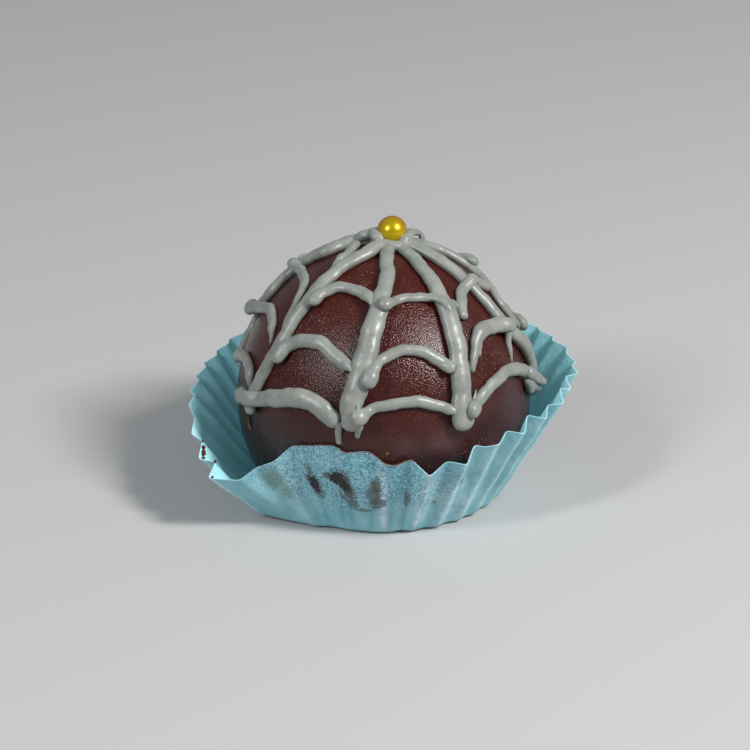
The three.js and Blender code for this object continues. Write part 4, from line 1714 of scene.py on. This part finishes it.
@dataclass
class PaperCase:
    """The pleated paper case: a flat floor and a folded wall of one thin sheet."""

    form: BallForm
    finish: PaperFinish = field(default_factory=PaperFinish)
    front: tuple[Fold, ...] = FRONT_FOLDS
    back_pleats: int = 22
    back_bearings: tuple[float, ...] = (108.0, 180.0, 235.0, 268.0, 276.0)
    back_rims: tuple[float, ...] = (28.0, 27.8, 27.7, 28.1, 28.2)  # radius of the outer folds
    back_heights: tuple[float, ...] = (16.9, 17.2, 15.2, 13.6, 13.1)
    back_depth: float = 1.05  # from an outer fold in to the next inner one
    back_inset: float = 0.1  # of the whole rim
    back_lean: tuple[float, float] = (0.68, 0.36)  # an inner fold's share of the way to the next outer one
    outer_jitter: float = 0.1  # of the folds' bearings, as shares of their spacing
    inner_jitter: float = 0.08
    inner_rise: float = 0.25  # how much higher the rim is at an inner fold
    height_share: float = 0.5  # of the unevenness, for heights
    foot_radius: float = 17.5
    foot_depth: float = 0.6
    unevenness: float = 0.22
    thickness: float = 0.12
    spacing: float = 0.25  # between points along the rim
    crease: float = 0.32  # half the width over which a fold is rounded
    # a worn line with a painted highlight along an outer fold, painted shade along an inner one
    fold_mark: float = 0.7  # width of the worn line along a fold
    rows: int = 32
    row_power: float = 1.1  # above 1, the rows lie closer at the foot
    rim_rows: tuple[float, ...] = (0.988, 0.996)  # further rows near the rim, as shares of the way up
    floor_rows: tuple[float, ...] = (0.3, 0.6, 0.85, 0.96)  # as shares of the foot's radius
    foot_round: float = 0.9  # radius of the bend between floor and wall
    crumple: float = 0.13
    crumple_turns: tuple[float, float] = (7.0, 3.0)  # times that its two waves go round the case
    crumple_rates: tuple[float, float] = (0.45, 0.5)  # radians of them in a millimetre upwards
    crumple_full: float = 4.0  # height at which it is full
    clearance: float = 0.05  # between the paper and the ball
    touch_softness: float = 0.2  # how gently the paper comes to lie on the ball
    ball_steps: int = 6
    least_radius: float = 2.0  # of the ball at any height, to keep its square root real
    seat_step: float = 0.02  # between the rows that give the wall's slope at a seat
    foot_ease: float = 0.15  # share of the way up over which the folds' marks set in
    worn_inside: float = 0.12  # how much of a fold's mark shows on the inner face
    deep_inside: float = 0.25
    touching: tuple[float, float, float] = (-37.0, 12.0, 4.0)  # where the rim has grease: from, to, ease
    grease_start: float = 0.990  # share of the way up, for the grease
    grease_ease: float = 0.006
    flap: tuple[float, float, float] = (-53.0, -34.0, 3.0)  # where the flap is: from, to, ease
    flap_softness: float = 0.7  # how much fainter the folds' marks are there
    right_start: float = 18.0  # where the right side starts
    right_ease: float = 8.0
    right_softness: float = 0.45
    seed: int = 11

    def build(self, effects: EffectLibrary) -> bpy.types.Object:
        """The case: the outer face is worked out row by row, and the inner one lies a paper's thickness in.

        Args:
            effects: The shared effects.

        Returns:
            The finished piece.
        """
        rim, foot, worn_and_lit, crease_shade = self._edges()
        share = np.sort(np.append(np.linspace(0.0, 1.0, self.rows) ** self.row_power, self.rim_rows))
        wall = self._wall(rim, foot, share)
        floor_share = np.array(self.floor_rows)[:, None, None]
        flat = wall[:1] * np.array([1.0, 1.0, 0.0])
        sheet = np.concatenate([floor_share * flat, wall])
        inner = sheet - self.thickness * self._normals(sheet)
        inner[: len(floor_share) + 1, :, 2] = self.thickness
        rings = np.concatenate([sheet, inner[::-1]])
        skin = Skin.over_rings(np.zeros(3), rings, np.array([0.0, 0.0, self.thickness]))
        piece = skin.to_object("pleated_case")
        up = np.concatenate([np.zeros(len(floor_share)), share])[:, None]
        for name, (values, inner_share) in self._marks(bearing_of(rim), up, worn_and_lit, crease_shade).items():
            other = inner_share * values[::-1]
            paint(piece, name, np.concatenate([[0.0], values.ravel(), other.ravel(), [0.0]]))
        # marks the inner face, where the material paints the light that comes through the paper
        paint(piece, "inside", np.repeat([0.0, 1.0], 1 + len(up) * len(rim)))
        piece.data.materials.append(self.finish.build(effects))
        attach(piece, BODY)
        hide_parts("paper_case")
        return piece

    def _marks(
        self, bearing: np.ndarray, up: np.ndarray, worn_and_lit: np.ndarray, crease_shade: np.ndarray
    ) -> dict[str, tuple[np.ndarray, float]]:
        """What the paper's material reads at each point of the outer face.

        The folds' marks set in above the foot, and are fainter on the flap and at the right. The grease is
        on the rim, where it touches the chocolate.

        Args:
            bearing: The bearings of the places along the rim.
            up: How far up the wall each row is, as a column.
            worn_and_lit: The outer folds' worn line along the rim, with its painted highlight.
            crease_shade: The inner folds' painted shade along the rim.

        Returns:
            For each name, the values, shaped (rows, places), and how much of them the inner face has.
        """
        right = smooth_step((bearing - self.right_start) / self.right_ease)
        crisp = 1.0 - self.right_softness * right - self.flap_softness * between(bearing, *self.flap)
        above_foot = smooth_step(up / self.foot_ease)
        at_rim = smooth_step((up - self.grease_start) / self.grease_ease)
        return {
            "worn_and_lit": (worn_and_lit * crisp * above_foot, self.worn_inside),
            "crease_shade": (crease_shade * crisp * above_foot, self.deep_inside),
            "greased": (between(bearing, *self.touching) * at_rim, 1.0),
        }

    def _folds(self) -> np.ndarray:
        """Every fold round the case, as rows of a table with a column for each of a Fold's values.

        The back's pleats are evenly spaced and then jittered by a seeded share of their spacing. Where an
        inner fold lies between two outer ones moves from near the next one at the right of the back to near
        the last one at its left, as the sides that show do.

        Returns:
            The table.
        """
        front = np.array([[f.bearing, f.rim, f.height, f.foot_bearing, f.foot] for f in self.front])
        dice = np.random.default_rng(self.seed)
        edges = np.linspace(self.back_bearings[0], self.back_bearings[-1], self.back_pleats)
        step = edges[1] - edges[0]
        outer = edges + self.outer_jitter * step * dice.uniform(-1.0, 1.0, len(edges))
        lean = np.linspace(*self.back_lean, len(edges) - 1)
        inner = edges[:-1] + step * (lean + self.inner_jitter * dice.uniform(-1.0, 1.0, len(lean)))
        bearing = np.insert(outer, np.arange(1, len(outer)), inner)
        inward = np.arange(len(bearing)) % 2
        jitter = self.unevenness * dice.uniform(-1.0, 1.0, (2, len(bearing)))
        rim = np.interp(bearing, self.back_bearings, self.back_rims) - self.back_depth * inward
        rim = rim - self.back_inset - np.abs(jitter[0])
        height = np.interp(bearing, self.back_bearings, self.back_heights) + self.inner_rise * inward
        height = height + self.height_share * jitter[1]
        foot = self.foot_radius - self.foot_depth * inward
        return np.vstack([front, np.column_stack([bearing, rim, height, bearing, foot])])

    def seat(self, bearing: float, share: float, gap: float) -> np.ndarray:
        """A point beside the wall's inner face, for what lies on it.

        Args:
            bearing: Where it is round the rim.
            share: How far up the wall it is, 0 at the foot and 1 at the rim.
            gap: Its distance in from the face.

        Returns:
            The point.
        """
        rim, foot, _, _ = self._edges()
        sheet = self._wall(rim, foot, share + self.seat_step * np.array([-1.0, 0.0, 1.0]))
        turn = bearing_of(rim) - bearing
        nearest = np.abs((turn + 180.0) % 360.0 - 180.0).argmin()
        return (sheet - (self.thickness + gap) * self._normals(sheet))[1, nearest]

    def _edges(self) -> tuple[np.ndarray, np.ndarray, np.ndarray, np.ndarray]:
        """The wall's rim and foot, as points that match one to one, and the marks of its folds.

        Folds are joined by straight facets. The points are spread evenly along the rim, and then averaged
        with their neighbours over the width of a crease, which rounds every fold. The marks are bell
        curves exp(-(d / width)^2) of the distance d along the rim to the nearest outer or inner fold.

        Returns:
            The rim's points, the foot's points, the outer folds' mark of wear and painted highlight and the
            inner folds' mark of painted shade.
        """
        folds = self._folds()
        folds = np.vstack([folds, folds[:1] + np.array([360.0, 0.0, 0.0, 360.0, 0.0])])
        rim = polar(folds[:, 0], folds[:, 1], folds[:, 2])
        foot = polar(folds[:, 3], folds[:, 4], np.zeros(len(folds)))
        run = distance_along(rim)
        count = int(run[-1] / self.spacing)
        even = run[-1] * np.arange(count) / count
        edges = np.column_stack([np.interp(even, run, values) for values in (*rim.T, *foot.T)])
        reach = int(round(self.crease / self.spacing * 2))
        weights = np.hanning(2 * reach + 3)[1:-1]  # without the zeros at its ends
        shifts = range(-reach, reach + 1)
        rounded = sum(w * np.roll(edges, k, axis=0) for w, k in zip(weights / weights.sum(), shifts))
        radius = folds[:-1, 1]
        outward = radius > 0.5 * (np.roll(radius, 1) + np.roll(radius, -1))
        gap = np.abs(even[:, None] - run[None, :-1])
        bell = np.exp(-((np.minimum(gap, run[-1] - gap) / self.fold_mark) ** 2))
        return rounded[:, :3], rounded[:, 3:], bell[:, outward].max(axis=1), bell[:, ~outward].max(axis=1)

    def _ball_radius(self, bearing: np.ndarray, height: np.ndarray) -> np.ndarray:
        """The ball's radius about the upright axis at a height, found by repeated steps along its reach.

        Args:
            bearing: The bearings.
            height: The heights.

        Returns:
            One radius for each.
        """
        rise = height - self.form.centre_height
        radius = np.full(np.broadcast(bearing, height).shape, self.form.radius)
        for _ in range(self.ball_steps):
            reach = self.form.reach(unit(polar(bearing, radius, rise)))
            radius = np.sqrt(np.maximum(reach**2 - rise**2, self.least_radius**2))
        return radius

    def _wall(self, rim: np.ndarray, foot: np.ndarray, share: np.ndarray) -> np.ndarray:
        """The wall's outer face.

        Each crease runs straight from foot to rim. The foot is rounded by a quarter circle, the sheet is
        crumpled a little by slow waves, and it is pushed out to lie on the ball where it would enter it,
        by the smooth maximum (a + b + sqrt((a - b)^2 + s^2)) / 2 of the two radii.

        Args:
            rim: The rim's points.
            foot: The foot's points.
            share: How far up the wall each row is, 0 at the foot and 1 at the rim.

        Returns:
            The points, shaped (rows, places, 3).
        """
        straight = foot[None] + (rim - foot)[None] * share[:, None, None]
        height = straight[..., 2]
        bearing = bearing_of(straight)
        radius = np.hypot(straight[..., 0], straight[..., 1])
        tuck = 1.0 - np.clip(height / self.foot_round, 0.0, 1.0)
        radius = radius - self.foot_round * (1.0 - np.sqrt(1.0 - tuck**2))
        waves = 1.0
        for turns, rate in zip(self.crumple_turns, self.crumple_rates):
            waves = waves * np.sin(np.radians(turns * bearing) + rate * height)
        radius = radius + self.crumple * waves * smooth_step(height / self.crumple_full)
        touch = self._ball_radius(bearing, height) + self.clearance + self.thickness
        return polar(bearing, soft_max(radius, touch, self.touch_softness), height)

    @staticmethod
    def _normals(sheet: np.ndarray) -> np.ndarray:
        """Unit normals of a grid closed round its rows, pointing out of the case.

        Args:
            sheet: The grid's points, shaped (rows, places, 3).

        Returns:
            One normal for each point.
        """
        along = np.roll(sheet, -1, axis=1) - np.roll(sheet, 1, axis=1)
        upward = np.gradient(sheet, axis=0)
        return unit(np.cross(along, upward))


@dataclass
class Crumbs:
    """The few cake crumbs and smears that lie on the case's left rim, and the specks along its front."""

    case: PaperCase
    finish: CrumbFinish = field(default_factory=CrumbFinish)
    places: tuple[tuple[float, float, float], ...] = (  # bearing, share of the way up the wall, size
        (-64.5, 0.98, 0.27),
        (-63.5, 0.97, 0.32),
        (-62.5, 0.96, 0.30),
        (-61.5, 0.95, 0.24),
        (-66, 1, 0.18),
        (-58, 1, 0.22),
        (-53, 1, 0.20),
        (34, 1, 0.18),
        (38, 1, 0.22),
        (-29, 1, 0.14),
        (-27, 1, 0.16),
        (-24, 1, 0.12),
    )
    pressed: float = 0.8  # from a crumb's middle to the paper, as a share of its size
    rings: int = 9
    around: int = 14
    lumpiness: float = 0.3
    lump_count: int = 4  # waves over a crumb
    lump_rate: float = 2.6
    seed: int = 23

    def build(self, effects: EffectLibrary) -> bpy.types.Object:
        """The crumbs: small lumps whose radius is uneven by seeded waves, resting on the paper.

        Args:
            effects: The shared effects.

        Returns:
            The finished piece.
        """
        dice = np.random.default_rng(self.seed)
        skins = [self._lump(place, dice) for place in self.places]
        piece = Skin.joined(skins).to_object("rim_crumbs")
        piece.data.materials.append(self.finish.build(effects))
        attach(piece, BODY)
        return piece

    def _lump(self, place: tuple[float, float, float], dice: np.random.Generator) -> Skin:
        """One crumb.

        Args:
            place: Its bearing, share of the way up the wall and size.
            dice: The source of its shape.

        Returns:
            Its skin.
        """
        bearing, share, size = place
        middle = self.case.seat(bearing, share, self.pressed * size)
        direction = sphere_directions(self.rings, self.around)
        waves = dice.normal(size=(self.lump_count, 3)) * self.lump_rate
        uneven = sum(np.sin(direction @ wave + wave[0]) for wave in waves) / len(waves)
        points = middle + direction * (size * (1.0 + self.lumpiness * uneven))[..., None]
        pole = np.array([0.0, 0.0, size])
        return Skin.over_rings(middle + pole, points, middle - pole)


# --------------------------------------------------------------------------------------------- the studio


@dataclass(frozen=True)
class Lamp:
    """A soft rectangular lamp that points at the truffle."""

    name: str
    bearing: float
    elevation: float
    distance: float
    width: float
    height: float
    power: float  # watts
    colour: Colour


@dataclass
class Studio:
    """The camera, the lamps, the surrounding light and the table."""

    scale: float = 0.1435  # millimetres to a pixel at the aim
    camera_distance: float = 480.0
    camera_elevation: float = 25.5
    image_side: int = 750  # pixels
    clip_start: float = 10.0  # nearest that the camera shows
    ball_pixel: tuple[float, float] = (384.0, 395.0)  # where the ball's middle falls in the image
    ball_height: float = 13.3
    sensor: float = 36.0
    table_half: float = 1500.0
    table_drop: float = 0.02  # below the case's floor
    surround: Colour = (0.235, 0.24, 0.25)
    lamps: tuple[Lamp, ...] = (
        Lamp("right_window", 61.0, 44.0, 620.0, 105.0, 165.0, 4.2, (1.0, 0.985, 0.96)),
        Lamp("left_window", -50.0, 38.0, 640.0, 75.0, 185.0, 1.8, (0.95, 0.98, 1.0)),
    )

    def build(self, effects: EffectLibrary) -> None:
        """Makes everything in the studio.

        Args:
            effects: The shared effects.
        """
        self._camera()
        for lamp in self.lamps:
            self._lamp(lamp)
        self._surround()
        self._table(effects)

    def _camera(self) -> None:
        """The camera: on a line that rises from the aim towards the front, looking back down it."""
        tilt = np.radians(self.camera_elevation)
        back = np.array([0.0, -np.cos(tilt), np.sin(tilt)])
        up = np.array([0.0, np.sin(tilt), np.cos(tilt)])
        middle = self.image_side / 2.0
        across = (middle - self.ball_pixel[0]) * self.scale
        rise = (self.ball_pixel[1] - middle) * self.scale
        aim = np.array([across, 0.0, self.ball_height]) + rise * up
        data = bpy.data.cameras.new("camera")
        data.sensor_width = self.sensor
        data.lens = self.sensor * self.camera_distance / (self.scale * self.image_side)
        data.clip_start = self.clip_start * METRES
        camera = bpy.data.objects.new("camera", data)
        camera.location = Vector((aim + self.camera_distance * back) * METRES)
        camera.rotation_euler = Vector(-back).to_track_quat("-Z", "Y").to_euler()
        bpy.context.scene.collection.objects.link(camera)
        bpy.context.scene.camera = camera

    def _lamp(self, lamp: Lamp) -> None:
        """One lamp, aimed at the middle of the ball.

        Args:
            lamp: Its size, place and light.
        """
        data = bpy.data.lights.new(lamp.name, "AREA")
        data.shape = "RECTANGLE"
        data.size = lamp.width * METRES
        data.size_y = lamp.height * METRES
        data.energy = lamp.power
        data.color = lamp.colour
        rise = np.radians(lamp.elevation)
        towards = polar(np.array(lamp.bearing), np.cos(rise), np.sin(rise))
        made = bpy.data.objects.new(lamp.name, data)
        made.location = Vector((towards * lamp.distance + np.array([0.0, 0.0, self.ball_height])) * METRES)
        made.rotation_euler = Vector(-towards).to_track_quat("-Z", "Y").to_euler()
        bpy.context.scene.collection.objects.link(made)

    def _surround(self) -> None:
        """Even light from all round."""
        world = bpy.data.worlds.new("surround")
        world.use_nodes = True
        world.node_tree.nodes["Background"].inputs["Color"].default_value = (*self.surround, 1.0)
        bpy.context.scene.world = world

    def _table(self, effects: EffectLibrary) -> None:
        """The table top, a single flat sheet just under the case.

        Args:
            effects: The shared effects.
        """
        half = self.table_half * METRES
        height = -self.table_drop * METRES
        corners = [(x * half, y * half, height) for x, y in ((-1, -1), (1, -1), (1, 1), (-1, 1))]
        mesh = bpy.data.meshes.new("table")
        mesh.from_pydata(corners, [], [(0, 1, 2, 3)])
        table = bpy.data.objects.new("table", mesh)
        table.data.materials.append(TableFinish().build(effects))
        bpy.context.scene.collection.objects.link(table)


def report(piece: bpy.types.Object) -> None:
    """Logs a piece's name and how many faces its own mesh has."""
    LOG.info("%s: %d faces", piece.name, len(piece.data.polygons))


def main() -> None:
    """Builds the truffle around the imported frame, and the studio that shows it."""
    logging.basicConfig(level=logging.INFO, format="%(name)s: %(message)s")
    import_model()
    bpy.context.scene.view_settings.view_transform = "Standard"
    effects = EffectLibrary()
    form = BallForm()
    report(ChocolateBall(form).build(effects))
    for piece in IcingWeb(form).build(effects):
        report(piece)
    report(SugarPearl(form).build(effects))
    case = PaperCase(form)
    report(case.build(effects))
    report(Crumbs(case).build(effects))
    Studio().build(effects)


if __name__ == "__main__":
    main()
